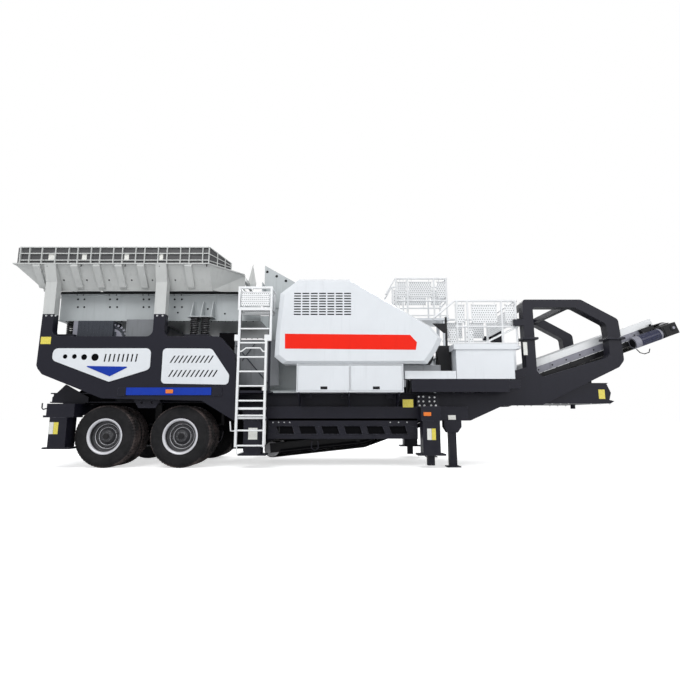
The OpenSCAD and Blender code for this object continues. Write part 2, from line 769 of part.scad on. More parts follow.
module jaw_plates() {
    w = 2 * (crusher_y - crusher_t) - 20;
    color([0.35, 0.34, 0.33]) placed() {
        translate([-1270, -w / 2, 1480]) linear_extrude(1250) jaw_profile(w);
        translate([jaw_top[0], w / 2, jaw_top[1]]) rotate([0, jaw_lean, 0])
            translate([0, 0, -1330])
                rotate([0, 0, 180]) linear_extrude(1250) jaw_profile(w);
    }
}

module pitman() {
    y = crusher_y - crusher_t - 20;
    down = [-sin(jaw_lean), -cos(jaw_lean)];
    toe = jaw_top + [90, -1230];
    color([0.5, 0.51, 0.52]) placed() {
        difference() {
            across(-y, y)
                polygon([jaw_top + 60 * down, jaw_top + 1340 * down,
                    toe + [-260, -90], toe, jaw_top + [520, -460], jaw_top + [560, -190],
                    jaw_top + [350, 10], jaw_top + [90, 0]]);
            bar_y([shaft_x, shaft_z], shaft_d + 2 * touch, -y - 1, y + 1);
        }
        across(-400, 400)
            polygon([toe + [-30, 40], toe, [280, 1700], [280, 1760], toe + [0, 80]]);
    }
}

module flywheels() {
    color([0.3, 0.31, 0.32]) placed() {
        bar_y([shaft_x, shaft_z], shaft_d, -1290, 1290);
        both_sides() difference() {
            bar_y([shaft_x, shaft_z], flywheel_d, -1040 - flywheel_w, -1040);
            bar_y([shaft_x, shaft_z], flywheel_d - 260, -1041 - flywheel_w,
                -1040 - flywheel_w / 2 - 30);
            bar_y([shaft_x, shaft_z], flywheel_d - 260, -1040 - flywheel_w / 2 + 30, -1039);
        }
        both_sides() difference() {
            bar_y([shaft_x, shaft_z], 420, -1040 - flywheel_w, -1040);
            bar_y([shaft_x, shaft_z], shaft_d - 10, -1041 - flywheel_w, -1039);
        }
    }
}

guard_outline = [[guard_rear + 80, guard_top - 265], [shaft_x - 360, guard_top],
    [shaft_x + 560, guard_top], [1615, 2465], [1810, 2235], [1700, 2020],
    [1540, cabinet_top_z], [-1010, cabinet_top_z], [guard_rear, cabinet_top_z + 120],
    [guard_rear + 15, 2320]];
guard_centre = [300, 2500];
function shrunk(pts, k) =
    [for (p = pts) guard_centre + [(p[0] - guard_centre[0]) * k, (p[1] - guard_centre[1]) * k]];

module guard_shell(y0, y1, inset) {
    k0 = 1 - inset / 800;
    hull() {
        across(-y1 + 70, -y0) polygon(shrunk(guard_outline, k0));
        across(-y1, -y0) polygon(shrunk(guard_outline, k0 - 0.06));
    }
}

module drive_guards() {
    color([0.9, 0.91, 0.92]) placed() both_sides() {
        difference() {
            guard_shell(guard_in, guard_y, 0);
            guard_shell(guard_in + guard_t, guard_y - guard_t, guard_t);
            bar_y([shaft_x, shaft_z], 620, -guard_in - guard_t - 1, -guard_in + 1);
            bar_y([motor_x, motor_z], 160, -guard_in - guard_t - 1, -guard_in + 1);
            for (c = [0:6])
                for (r = [0:8])
                    block([-820 + 149 * c, -guard_y - 1, 2662 + 48 * r],
                        [-820 + 149 * c + 122, -guard_y + guard_t + 1, 2662 + 48 * r + 22]);
        }
    }
}

module drive_motor() {
    color([0.07, 0.07, 0.08]) placed() {
        bar_y([motor_x, motor_z], motor_d, -960, -260);
        bar_y([motor_x, motor_z], 110, -1230, -960);
        bar_y([motor_x, motor_z], 300, -1220, -1040);
        block([motor_x - 250, -beam_out, 1720], [motor_x + 250, -300, 1770]);
        for (x = [motor_x - 240, motor_x + 200])
            block([x, -beam_out, beam_top], [x + 40, -beam_in, 1720]);
        block([1818, -beam_out, beam_top], [2064, -beam_in, front_deck_z]);
        block([1974, -beam_out, front_deck_z], [2010, -beam_out + 36, 2728]);
        across(-beam_out, -beam_out + 10) polygon([[1734, 2608], [1980, 2608], [1980, 2424],
            [1945, 2424]]);
    }
}

module cabinet_box() {
    t = cabinet_t;
    difference() {
        block([cabinet_rear_x, -cabinet_y, cabinet_low_z],
            [cabinet_front_x, -cabinet_y + cabinet_depth, cabinet_top_z]);
        block([cabinet_rear_x + t, -cabinet_y - 1, cabinet_low_z + t],
            [bay_mid_x - t / 2, -cabinet_y + cabinet_depth - t, cabinet_top_z - t]);
        block([bay_mid_x + t / 2, -cabinet_y - 1, cabinet_low_z + t],
            [cabinet_front_x - t, -cabinet_y + cabinet_depth - t, cabinet_top_z - t]);
        for (x = [cabinet_rear_x + t - 9, cabinet_front_x - t - 1])
            bar_x([-door_pin_y, door_pin_z], door_pin_d + 2 * touch, x, x + 10);
        for (x = [bay_mid_x - t / 2 - 1, bay_mid_x + t / 2 - 8])
            bar_x([-door_pin_y, door_pin_z], door_pin_d + 2 * touch, x, x + 9);
    }
}

module tool_cabinets() {
    color([0.9, 0.91, 0.92]) placed() {
        cabinet_box();
        block([cabinet_rear_x, cabinet_y - cabinet_depth, cabinet_low_z],
            [cabinet_front_x, cabinet_y, cabinet_top_z]);
    }
}

// A door of the tool cabinet between the stations x0 and x1, with its two hinge pins.
module cabinet_door(x0, x1) {
    block([x0 + move_gap, -cabinet_y, cabinet_low_z + cabinet_t + move_gap],
        [x1 - move_gap, -cabinet_y + cabinet_t, door_pin_z + 10]);
    bar_x([-door_pin_y, door_pin_z], door_pin_d, x0 - 7, x0 + move_gap + 1);
    bar_x([-door_pin_y, door_pin_z], door_pin_d, x1 - move_gap - 1, x1 + 7);
}

module cabinet_door_rear() {
    color([0.9, 0.91, 0.92]) placed()
        cabinet_door(cabinet_rear_x + cabinet_t, bay_mid_x - cabinet_t / 2);
}

module cabinet_door_front() {
    color([0.9, 0.91, 0.92]) placed()
        cabinet_door(bay_mid_x + cabinet_t / 2, cabinet_front_x - cabinet_t);
}

module power_cabinets() {
    color([0.91, 0.92, 0.93]) placed() both_sides() {
        block([2070, -1300, deck_top], [3100, -980, lid_top - 100]);
        block([2027, -1330, lid_top - 100], [3153, -970, lid_top]);
        block([1150, -1300, deck_top], [2060, -1000, deck_top + 140]);
        block([1141, -1300, deck_top + 140], [1785, -1100, cabinet_top_z - 15]);
    }
}

module platform_decks() {
    color([0.85, 0.86, 0.87]) placed() {
        block([2070, -900, front_deck_z - 50], [3390, 900, front_deck_z]);
        for (x = [2075, 3240])
            for (y = [-880, 820])
                block([x, y, beam_top + (x > 3000 ? 333 : 0)],
                    [x + 60, y + 60, front_deck_z - 50]);
        block([1040, upper_rail_y - 30, upper_deck_z - 50], [2330, 900, upper_deck_z]);
        for (x = [1060, 2200])
            for (y = [upper_rail_y - 10, 820])
                block([x, y, x > 2000 ? front_deck_z : beam_top + 100],
                    [x + 60, y + 60, upper_deck_z - 50]);
    }
}

// Heights of the mid rail and the top rail above a platform.
rail_hs = [0.42 * guard_rail_h, guard_rail_h - tube_d / 2];
upper_rail_y = 200;

// A run of guard rail along X with a perforated panel between its posts.
module rail_run(x0, x1, y, z, posts) {
    for (h = rail_hs)
        bar_x([y, z + h], tube_d, x0, x1);
    for (x = posts)
        translate([x, y, z]) cylinder(d = tube_d - 4, h = rail_hs[1]);
    block([x0 + 20, y - 2, z + rail_hs[0]], [x1 - 20, y + 2, z + rail_hs[1]]);
}

// The cross rail that closes the end of a platform.
module rail_end(x, y0, y1, z) {
    for (h = rail_hs)
        bar_y([x, z + h], tube_d - 8, y0, y1);
    block([x - 2, y0 + 30, z + rail_hs[0]], [x + 2, y1 - 30, z + rail_hs[1]]);
}

// A tube in the plane y from the point a to the point b.
module tube_xz(a, b, y, d) {
    translate([a[0], y, a[1]]) rotate([0, 90 - atan2(b[1] - a[1], b[0] - a[0]), 0])
        cylinder(d = d, h = norm(b - a));
}

module guard_rails() {
    y = 870;
    front_top = front_deck_z + rail_hs[1];
    upper_top = upper_deck_z + rail_hs[1];
    color([0.93, 0.94, 0.95]) placed() {
        rail_run(2186, 3380, -y, front_deck_z, [2225, 2430, 3080, 3350]);
        tube_xz([1762, front_top - 350], [2202, front_top], -y, tube_d - 8);
        tube_xz([2739, front_deck_z + 20], [3334, front_deck_z + rail_hs[0]], -y, tube_d - 12);
        for (x = [[2100, 2225], [2430, 2560]])
            block([x[0], -y - 2, front_deck_z], [x[1], -y + 2, front_deck_z + rail_hs[0]]);
        rail_run(2330, 3380, y, front_deck_z, [2360, 2850, 3350]);
        rail_end(3350, -y, y, front_deck_z);
        for (side = [upper_rail_y, y]) {
            rail_run(1191, 2324, side, upper_deck_z, [1210, 1455, 2030, 2300]);
            tube_xz([988, upper_top - 375], [1206, upper_top], side, tube_d - 8);
        }
        rail_end(2300, upper_rail_y, y, upper_deck_z);
    }
}

module access_landing() {
    x0 = landing_x[0];
    x1 = landing_x[1];
    deck = landing_z + 26;
    top = deck + 384;
    y0 = ladder_y - 10;
    y1 = feeder_y + 60;
    color([0.88, 0.89, 0.9]) placed() {
        block([x0, -y0, landing_z], [x1, -y1, deck]);
        for (x = [x0, x1 - 40])
            for (y = [-y0, -y1 - 40])
                block([x, y, deck], [x + 40, y + 40, top]);
        for (y = [-y0, -y1 - 40])
            block([x0 + 40, y, top - 40], [x1 - 40, y + 40, top]);
        block([x0 + 40, -y0 + 8, deck + 16], [x1 - 40, -y0 + 12, deck + 294]);
        for (x = [x0 + 18, x1 - 22])
            block([x, -y0 + 40, deck + 16], [x + 4, -y1 - 40, deck + 294]);
        for (x = [ladder_x, x1 - 60])
            block([x, -1390, beam_top + 20], [x + 40, -1350, landing_z]);
        block([ladder_x, -1390, beam_top - 20], [x1 - 20, -beam_out, beam_top + 20]);
    }
}

module ladder() {
    x1 = ladder_x + ladder_w;
    joint = [ladder_joint_z, ladder_joint_z + 108];
    y = -ladder_y;
    upper_x1 = landing_x[1];
    color([0.9, 0.91, 0.92]) placed() {
        for (x = [ladder_x, x1 - 40])
            block([x, y, ladder_low_z], [x + 40, y + 50, joint[0]]);
        for (x = [ladder_x, upper_x1 - 40])
            block([x, y, joint[1]], [x + 40, y + 50, landing_z]);
        block([ladder_x - 59, y, joint[0]], [ladder_x + 40, y + 50, joint[1]]);
        block([x1 - 51, y, joint[0]], [upper_x1, y + 50, joint[1]]);
        for (i = [0:rung_count - 1])
            bar_x([y + 25, ladder_low_z + 24 + rung_pitch * i], 30, ladder_x + 39,
                i == rung_count - 1 ? upper_x1 - 39 : x1 - 39);
        for (z = [840, 1000])
            block([ladder_x, y + 50, z], [x1, y + 100, z + 40]);
    }
}

module axles() {
    color([0.07, 0.07, 0.08]) placed()
        for (x = axle_xs) {
            bar_y([x, tyre_r], 150, -leaf_out - 30, leaf_out + 30);
            bar_y([x, tyre_r], spindle_d, -track_w / 2 + 50, track_w / 2 - 50);
            both_sides()
                block([x - 75, -leaf_out - 20, tyre_r - 75], [x + 75, -leaf_in + 20, tyre_r + 90]);
        }
}

module suspension() {
    z = tyre_r + 90;
    color([0.07, 0.07, 0.08]) placed() both_sides() {
        for (x = axle_xs)
            across(-leaf_out, -leaf_in)
                polygon([[x - 560, z + 130], [x - 560, z + 100], [x - 120, z],
                    [x + 120, z], [x + 560, z + 100], [x + 560, z + 130],
                    [x + 120, z + 60], [x - 120, z + 60]]);
        for (h = [[-4710, 50, rear_beam_z[0]], [-3510, 120, beam_rear_low],
            [-2250, 50, beam_rear_low]])
            block([h[0], -leaf_out - 10, z + 90], [h[0] + h[1], -leaf_in + 10, h[2]]);
    }
}

// A tyre that turns about Y, from y0 to y0 + tyre_w.
module tyre(y0) {
    r0 = rim_d / 2 + touch;
    translate([0, y0 + tyre_w, 0]) rotate([90, 0, 0]) rotate_extrude($fn = 96)
        polygon([[r0, 0], [r0 + 60, 0], [tyre_r - 70, 0], [tyre_r - 22, 22], [tyre_r, 60],
            [tyre_r, tyre_w - 60], [tyre_r - 22, tyre_w - 22], [tyre_r - 70, tyre_w],
            [r0 + 60, tyre_w], [r0, tyre_w], [r0, tyre_w - 20], [r0, 20]]);
}

// A pair of rims on a hub, with the outer face at y = 0 and the hub towards +Y.
module rims() {
    r = rim_d / 2;
    w = tyre_w;
    p = dual_pitch;
    b = spindle_d / 2 + wheel_gap;
    translate([0, w + p, 0]) rotate([90, 0, 0]) rotate_extrude($fn = 72) {
        for (v = [0, p])
            polygon([[r - 20, v], [r, v], [r, v + w], [r - 20, v + w]]);
        polygon([[b, 130], [130, 130], [130, w - 30], [r - 10, w - 30], [r - 10, p + 25],
            [150, p + 50], [150, p + 130], [110, p + 190], [b, p + 190]]);
    }
}

module near_wheel(x) {
    placed() translate([x, -track_w / 2, tyre_r]) children();
}

module far_wheel(x) {
    placed() mirror([0, 1, 0]) translate([x, -track_w / 2, tyre_r]) children();
}

module dual_tyres() {
    tyre(0);
    tyre(dual_pitch);
}

module tyres_rear_near() {
    color([0.05, 0.05, 0.05]) near_wheel(axle_xs[0]) dual_tyres();
}

module rims_rear_near() {
    color([0.7, 0.71, 0.72]) near_wheel(axle_xs[0]) rims();
}

module tyres_rear_far() {
    color([0.05, 0.05, 0.05]) far_wheel(axle_xs[0]) dual_tyres();
}

module rims_rear_far() {
    color([0.7, 0.71, 0.72]) far_wheel(axle_xs[0]) rims();
}

module tyres_front_near() {
    color([0.05, 0.05, 0.05]) near_wheel(axle_xs[1]) dual_tyres();
}

module rims_front_near() {
    color([0.7, 0.71, 0.72]) near_wheel(axle_xs[1]) rims();
}

module tyres_front_far() {
    color([0.05, 0.05, 0.05]) far_wheel(axle_xs[1]) dual_tyres();
}

module rims_front_far() {
    color([0.7, 0.71, 0.72]) far_wheel(axle_xs[1]) rims();
}

// A jack housing under the chassis: a box bored square, over a wide foot flange.
module jack_housing(i) {
    x = jack_xs[i];
    b = jack_leg_w / 2 + jack_gap;
    difference() {
        union() {
            block([x - jack_w / 2, -jack_y - jack_w / 2, jack_lows[i] + plate_t],
                [x + jack_w / 2, -jack_y + jack_w / 2, jack_tops[i]]);
            block([x - flange_w / 2, -jack_y - jack_w / 2, jack_lows[i]],
                [x + flange_w / 2, -jack_y + jack_w / 2, jack_lows[i] + plate_t]);
        }
        block([x - b, -jack_y - b, jack_lows[i] - 1], [x + b, -jack_y + b, jack_tops[i] - 40]);
    }
}

// A square jack leg, run out of its housing by the distance out.
module jack_leg(i, out) {
    x = jack_xs[i];
    b = jack_leg_w / 2;
    block([x - b, -jack_y - b, jack_lows[i] - out], [x + b, -jack_y + b,
        jack_tops[i] - 60 - out]);
}

module jack_housings() {
    color([0.09, 0.09, 0.11]) placed() {
        both_sides()
            for (i = [0, 1, 2])
                jack_housing(i);
    }
}

module jack_leg_rear_near() {
    color([0.12, 0.12, 0.14]) placed() jack_leg(0, 0);
}

module jack_leg_rear_far() {
    color([0.12, 0.12, 0.14]) placed() mirror([0, 1, 0]) jack_leg(0, 0);
}

module jack_leg_mid_near() {
    color([0.12, 0.12, 0.14]) placed() jack_leg(1, 0);
}

module jack_leg_mid_far() {
    color([0.12, 0.12, 0.14]) placed() mirror([0, 1, 0]) jack_leg(1, 0);
}

module jack_leg_front_near() {
    color([0.12, 0.12, 0.14]) placed() jack_leg(2, front_jack_out);
}

module jack_leg_front_far() {
    color([0.12, 0.12, 0.14]) placed() mirror([0, 1, 0]) jack_leg(2, front_jack_out);
}

module landing_legs() {
    color([0.1, 0.1, 0.12]) placed() both_sides() {
        block([leg_x - leg_w / 2, -leg_y - leg_w / 2, 20],
            [leg_x + leg_w / 2, -leg_y + leg_w / 2, beam_low]);
        block([leg_x - 120, -leg_y - 110, 0], [leg_x + 120, -leg_y + 110, 20]);
    }
}

// The frame of the inclined section, with its origin at the head drum and +X uphill.
module inclined() {
    placed() translate([drum_x, 0, drum_z]) rotate([0, -belt_slope, 0]) children();
}

// A strip along the bent line of the conveyor, between two heights above that line and
// longer than the frame by more at either end.
function strip(low, high, more = 0) =
    let (t = tail_slope, b = belt_slope, m = (t + b) / 2, k = 1 / cos((b - t) / 2),
        foot = [tail_x, tail_z] - (30 + more) * [cos(t), sin(t)],
        head = [drum_x, drum_z] + (80 + more) * [cos(b), sin(b)])
    [foot + low * [-sin(t), cos(t)],
        [bend_x, bend_z] + low * k * [-sin(m), cos(m)],
        head + low * [-sin(b), cos(b)],
        head + high * [-sin(b), cos(b)],
        [bend_x, bend_z] + high * k * [-sin(m), cos(m)],
        foot + high * [-sin(t), cos(t)]];

module conveyor_frame() {
    mid = 3050;
    color([0.66, 0.67, 0.68]) {
        both_sides() {
            placed() {
                difference() {
                    across(-channel_y, -channel_in) polygon(strip(channel_low, channel_top));
                    across(-channel_y - 1, -channel_in - 8)
                        polygon(strip(channel_low + 10, channel_top - 10, 20));
                }
                block([300, -channel_y - 12, 420], [380, -channel_y, 1060]);
                block([800, -channel_y - 12, 630], [880, -channel_y, 1060]);
                block([mid - 40, -channel_y - 12, 1190], [mid + 40, -channel_y, 1380]);
                block([4740, -channel_y - 12, 1500], [4820, -channel_y, 2020]);
            }
        }
    }
}

module conveyor_skirts() {
    color([0.88, 0.89, 0.9]) both_sides() {
        inclined() block([-incline_l + 160, -channel_in - 20, channel_top + touch],
            [-220, -channel_in - 14, channel_top + 190]);
    }
}

// The belt as one closed loop round both drums.
function loop(r) =
    let (m = (belt_slope + tail_slope) / 2, d = r / cos((belt_slope - tail_slope) / 2))
    concat(
        [[bend_x, bend_z] + d * [-sin(m), cos(m)]],
        [for (i = [0:12]) let (t = tail_slope + 90 + 15 * i)
            [tail_x, tail_z] + r * [cos(t), sin(t)]],
        [[bend_x, bend_z] + d * [sin(m), -cos(m)]],
        [for (i = [0:12]) let (t = belt_slope - 90 + 15 * i)
            [drum_x, drum_z] + r * [cos(t), sin(t)]]);

module conveyor_belt() {
    color([0.06, 0.06, 0.06]) placed() difference() {
        across(-belt_w / 2, belt_w / 2) polygon(loop(belt_r));
        across(-belt_w / 2 - 1, belt_w / 2 + 1) polygon(loop(drum_r));
    }
}

module conveyor_rollers() {
    color([0.25, 0.25, 0.27]) {
        placed()
            for (p = [[drum_x, drum_z], [tail_x, tail_z]]) {
                bar_y(p, drum_d * cos(7.5) - 2 * touch, -channel_in + 12, channel_in - 12);
                bar_y(p, 60, -channel_in, channel_in);
            }
    }
}

module conveyor_drive() {
    color([0.1, 0.25, 0.6]) inclined() {
        block([-285, -channel_y - 240, -125], [15, -channel_y - touch, 95]);
        translate([-850, -channel_y - 125, -28]) rotate([0, 90, 0]) cylinder(d = 225, h = 565);
    }
}

main_beams();
cross_members();
chassis_rails();
sill_panels();
outriggers();
goosenecks();
arches();
coupler_box();
side_frames();
vent_panels();
blue_trim();
hopper_posts();
hopper_sides();
hopper_rear_wall();
hopper_corners();
top_boards();
feeder_trough();
feeder_springs();
feeder_seats();
feeder_drive();
feed_chute();
crusher_frame();
jaw_plates();
pitman();
flywheels();
drive_guards();
drive_motor();
tool_cabinets();
cabinet_door_rear();
cabinet_door_front();
power_cabinets();
platform_decks();
guard_rails();
access_landing();
ladder();
axles();
suspension();
tyres_rear_near();
rims_rear_near();
tyres_rear_far();
rims_rear_far();
tyres_front_near();
rims_front_near();
tyres_front_far();
rims_front_far();
jack_housings();
jack_leg_rear_near();
jack_leg_rear_far();
jack_leg_mid_near();
jack_leg_mid_far();
jack_leg_front_near();
jack_leg_front_far();
landing_legs();
conveyor_frame();
conveyor_skirts();
conveyor_belt();
conveyor_rollers();
conveyor_drive();
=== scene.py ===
"""Looks of a mobile jaw crushing plant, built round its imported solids.

Places are given as in the solids' source: millimetres, with X as a station along the
trailer, Z up and the near side at -Y. The class Shape turns them into the row's metres.
"""

import json
import math

import bpy
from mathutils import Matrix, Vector


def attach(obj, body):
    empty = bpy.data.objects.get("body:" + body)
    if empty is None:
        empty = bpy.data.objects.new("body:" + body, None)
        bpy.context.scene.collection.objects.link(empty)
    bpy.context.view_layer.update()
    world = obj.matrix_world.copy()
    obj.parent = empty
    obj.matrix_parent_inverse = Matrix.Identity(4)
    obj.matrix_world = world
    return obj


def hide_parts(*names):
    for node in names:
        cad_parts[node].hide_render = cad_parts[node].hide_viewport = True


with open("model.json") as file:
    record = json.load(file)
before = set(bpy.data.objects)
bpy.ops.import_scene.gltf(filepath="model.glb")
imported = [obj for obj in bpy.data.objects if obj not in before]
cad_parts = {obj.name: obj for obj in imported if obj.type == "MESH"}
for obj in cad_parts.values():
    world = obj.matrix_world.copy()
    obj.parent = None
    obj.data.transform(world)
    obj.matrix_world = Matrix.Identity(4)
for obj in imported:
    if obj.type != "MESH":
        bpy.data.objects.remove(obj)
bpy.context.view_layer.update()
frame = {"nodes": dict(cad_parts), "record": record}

# The kingpin stands at station 4730, which gives the place of station 0 in the row.
KINGPIN_STATION = 4.730
KINGPIN = next(m for m in frame["record"]["mounts"] if m["name"] == "kingpin")
ORIGIN_X = KINGPIN["pos_m"][0] - KINGPIN_STATION

# The camera that was fitted to the photograph: pixels, millimetres, metres and degrees.
IMAGE_PX = 680
FOCAL_PX = 458
SENSOR_MM = 36
CAMERA_Y = -9.4
CAMERA_Z = 0.895
TILT_UP = 9.4

# Outer faces on the near side, and the ways in which bolts point.
GUARD_FACE = -1450
FRAME_FACE = -1400
JACK_FACE = -1350
SILL_FACE = -1060
FEEDER_FACE = -950
NEAR = (0, -1, 0)
DOWN = (0, 0, -1)


# Camera and light

def add_camera():
    """The photograph's view: low in front of the near side, tilted up a little."""
    data = bpy.data.cameras.new("photo_camera")
    data.sensor_width = SENSOR_MM
    data.lens = SENSOR_MM * FOCAL_PX / IMAGE_PX
    camera = bpy.data.objects.new("photo_camera", data)
    camera.location = (ORIGIN_X, CAMERA_Y, CAMERA_Z)
    camera.rotation_euler = (math.radians(90 + TILT_UP), 0, 0)
    bpy.context.scene.collection.objects.link(camera)
    bpy.context.scene.camera = camera


def add_lamp(name, place, target, size, power):
    """A round soft box, in metres and watts, turned to its target."""
    data = bpy.data.lights.new(name, "AREA")
    data.shape = "DISK"
    data.size = size
    data.energy = power
    lamp = bpy.data.objects.new(name, data)
    lamp.location = place
    lamp.rotation_euler = (Vector(target) - Vector(place)).to_track_quat("-Z", "Y").to_euler()
    bpy.context.scene.collection.objects.link(lamp)


def add_world():
    """Soft white light all round. What the camera or a gloss sees of it is plain white."""
    world = bpy.data.worlds.new("studio")
    bpy.context.scene.world = world
    world.use_nodes = True
    tree = world.node_tree
    light = tree.nodes["Background"]
    light.inputs["Color"].default_value = (0.94, 0.97, 1, 1)
    light.inputs["Strength"].default_value = 0.55
    seen = tree.nodes.new("ShaderNodeBackground")
    seen.inputs["Color"].default_value = (1, 1, 1, 1)
    rays = tree.nodes.new("ShaderNodeLightPath")
    shown = rays.outputs["Is Camera Ray"]
    for kind in ("Is Transmission Ray", "Is Glossy Ray"):
        either = tree.nodes.new("ShaderNodeMath")
        either.operation = "MAXIMUM"
        tree.links.new(shown, either.inputs[0])
        tree.links.new(rays.outputs[kind], either.inputs[1])
        shown = either.outputs[0]
    mix = tree.nodes.new("ShaderNodeMixShader")
    tree.links.new(shown, mix.inputs[0])
    tree.links.new(light.outputs[0], mix.inputs[1])
    tree.links.new(seen.outputs[0], mix.inputs[2])
    tree.links.new(mix.outputs[0], tree.nodes["World Output"].inputs["Surface"])


# Materials

class Material:
    """A node material in the making, with short names for the nodes that it needs."""

    def __init__(self, name):
        self.made = bpy.data.materials.new(name)
        self.made.use_nodes = True
        self.tree = self.made.node_tree
        self.shader = self.tree.nodes["Principled BSDF"]
        self.place = self.node("TexCoord").outputs["Object"]

    def node(self, kind, settings=(), **inputs):
        node = self.tree.nodes.new("ShaderNode" + kind)
        for key, value in dict(settings).items():
            setattr(node, key, value)
        for key, value in inputs.items():
            self.put(node.inputs[key.replace("_", " ")], value)
        return node

    def put(self, socket, value):
        if isinstance(value, bpy.types.NodeSocket):
            self.tree.links.new(value, socket)
        else:
            socket.default_value = value

    def noise(self, scale, detail=3, stretch=(1, 1, 1), rough=0.55):
        moved = self.node("Mapping", Vector=self.place, Scale=stretch).outputs[0]
        return self.node("TexNoise", Vector=moved, Scale=scale, Detail=detail,
                         Roughness=rough).outputs["Fac"]

    def span(self, value, low, high, out_low=0.0, out_high=1.0):
        """value from low..high, mapped to out_low..out_high and held there."""
        node = self.node("MapRange")
        for index, entry in enumerate((value, low, high, out_low, out_high)):
            self.put(node.inputs[index], entry)
        return node.outputs[0]

    def math(self, operation, a, b):
        node = self.node("Math", {"operation": operation, "use_clamp": True})
        self.put(node.inputs[0], a)
        self.put(node.inputs[1], b)
        return node.outputs[0]

    def mix(self, amount, a, b):
        node = self.node("Mix", {"data_type": "RGBA"})
        self.put(node.inputs["Factor"], amount)
        for socket, value in zip([s for s in node.inputs if s.type == "RGBA"], (a, b)):
            self.put(socket, value if isinstance(value, bpy.types.NodeSocket)
                     else (*value, 1))
        return next(s for s in node.outputs if s.type == "RGBA")

    def split(self, vector):
        return self.node("SeparateXYZ", Vector=vector).outputs

    def bump(self, height, strength, distance, normal=None):
        node = self.node("Bump", Height=height, Strength=strength, Distance=distance)
        if normal is not None:
            self.put(node.inputs["Normal"], normal)
        return node.outputs[0]


def shade(color, factor):
    return tuple(min(1.0, c * factor) for c in color)


def painted(name, color, rough, chip_and_highlight_color, chip_and_highlight_amount, dust, metallic=0.0, mottle=0.08,
            dust_color=(0.42, 0.39, 0.35), coat=0.0, edge=0.004, second=None, gloss=0.5):
    """Sprayed paint: mottled, with chips along its edges and dust on what faces up.

    chip_and_highlight_color is the colour along the edges: chipped paint, and on the navy and
    spring paints also a painted highlight. chip_and_highlight_amount is how strongly it shows, and
    edge how far in metres it reaches. second is (colour, function of the material that gives its
    mask) for a node whose solids carry two paints.
    """
    m = Material(name)
    base = color
    if second:
        base = m.mix(second[1](m), color, second[0])
        dark = m.mix(second[1](m), shade(color, 1 - mottle * 2), shade(second[0], 1 - mottle * 2))
    else:
        dark = shade(color, 1 - mottle * 2)
    clouds = m.span(m.noise(1.4, 5), 0.35, 0.65)
    streaks = m.span(m.noise(3.0, 4, (4, 4, 0.35)), 0.5, 0.75)
    shown = m.mix(m.math("MAXIMUM", m.math("MULTIPLY", clouds, 0.6), streaks), base, dark)
    smooth = m.node("Bevel", {"samples": 4}, Radius=edge).outputs[0]
    flat = m.node("NewGeometry").outputs["Normal"]
    meet = m.node("VectorMath", {"operation": "DOT_PRODUCT"})
    m.put(meet.inputs[0], smooth)
    m.put(meet.inputs[1], flat)
    speck = m.span(m.noise(26, 6, rough=0.7), 0.42, 0.62)
    # Edge colour from the bevel mask: chipped paint, and on the navy and spring paints also
    # painted highlights.
    rim = m.math("MULTIPLY", m.span(meet.outputs["Value"], 0.985, 0.9), speck)
    shown = m.mix(m.math("MULTIPLY", rim, chip_and_highlight_amount), shown, chip_and_highlight_color)
    facing = m.span(m.split(flat)[2], 0.35, 0.95)
    low = m.span(m.split(m.place)[2], 1.4, 0.2, 0.0, 0.6)
    powder = m.span(m.noise(7, 6), 0.38, 0.66)
    settled = m.math("MULTIPLY", m.math("MAXIMUM", facing, low), powder)
    shown = m.mix(m.math("MULTIPLY", settled, dust), shown, dust_color)
    m.put(m.shader.inputs["Base Color"], shown)
    peel = m.noise(90, 3)
    fine = m.math("ADD", m.math("MULTIPLY", peel, 0.14), rough - 0.07)
    m.put(m.shader.inputs["Roughness"],
          m.math("ADD", fine, m.math("MULTIPLY", settled, dust * 0.8)))
    m.put(m.shader.inputs["Normal"], m.bump(peel, 0.12, 0.002, smooth))
    m.shader.inputs["Metallic"].default_value = metallic
    m.shader.inputs["Specular IOR Level"].default_value = gloss
    m.shader.inputs["Coat Weight"].default_value = coat
    m.shader.inputs["Coat Roughness"].default_value = 0.2
    return m.made


def rubber(name, color, rough, scale=60, dust=(0.075, 0.072, 0.07)):
    """Tyre or belt rubber: matt, finely grained, greyed by dust."""
    m = Material(name)
    grain = m.noise(scale, 5)
    dusty = m.span(m.noise(5, 6), 0.4, 0.7)
    shown = m.mix(m.math("MULTIPLY", dusty, 0.5), color, dust)
    shown = m.mix(m.math("MULTIPLY", m.span(grain, 0.55, 0.75), 0.35), shown, shade(color, 0.5))
    m.put(m.shader.inputs["Base Color"], shown)
    m.put(m.shader.inputs["Roughness"], m.span(m.noise(12, 4), 0.3, 0.7, rough - 0.1, rough + 0.1))
    m.put(m.shader.inputs["Normal"], m.bump(grain, 0.25, 0.003))
    m.shader.inputs["Specular IOR Level"].default_value = 0.25
    return m.made


def metal(name, color, rough, grime=0.3):
    """Bare or galvanised metal with fine scratches and grime."""
    m = Material(name)
    scratch = m.noise(40, 6, rough=0.7)
    film = m.span(m.noise(4, 5), 0.4, 0.7)
    shown = m.mix(m.math("MULTIPLY", film, grime), color, shade(color, 0.35))
    m.put(m.shader.inputs["Base Color"], shown)
    m.put(m.shader.inputs["Roughness"],
          m.math("ADD", m.math("MULTIPLY", scratch, 0.3), rough - 0.15))
    m.put(m.shader.inputs["Normal"], m.bump(scratch, 0.15, 0.001))
    m.shader.inputs["Metallic"].default_value = 0.9
    return m.made


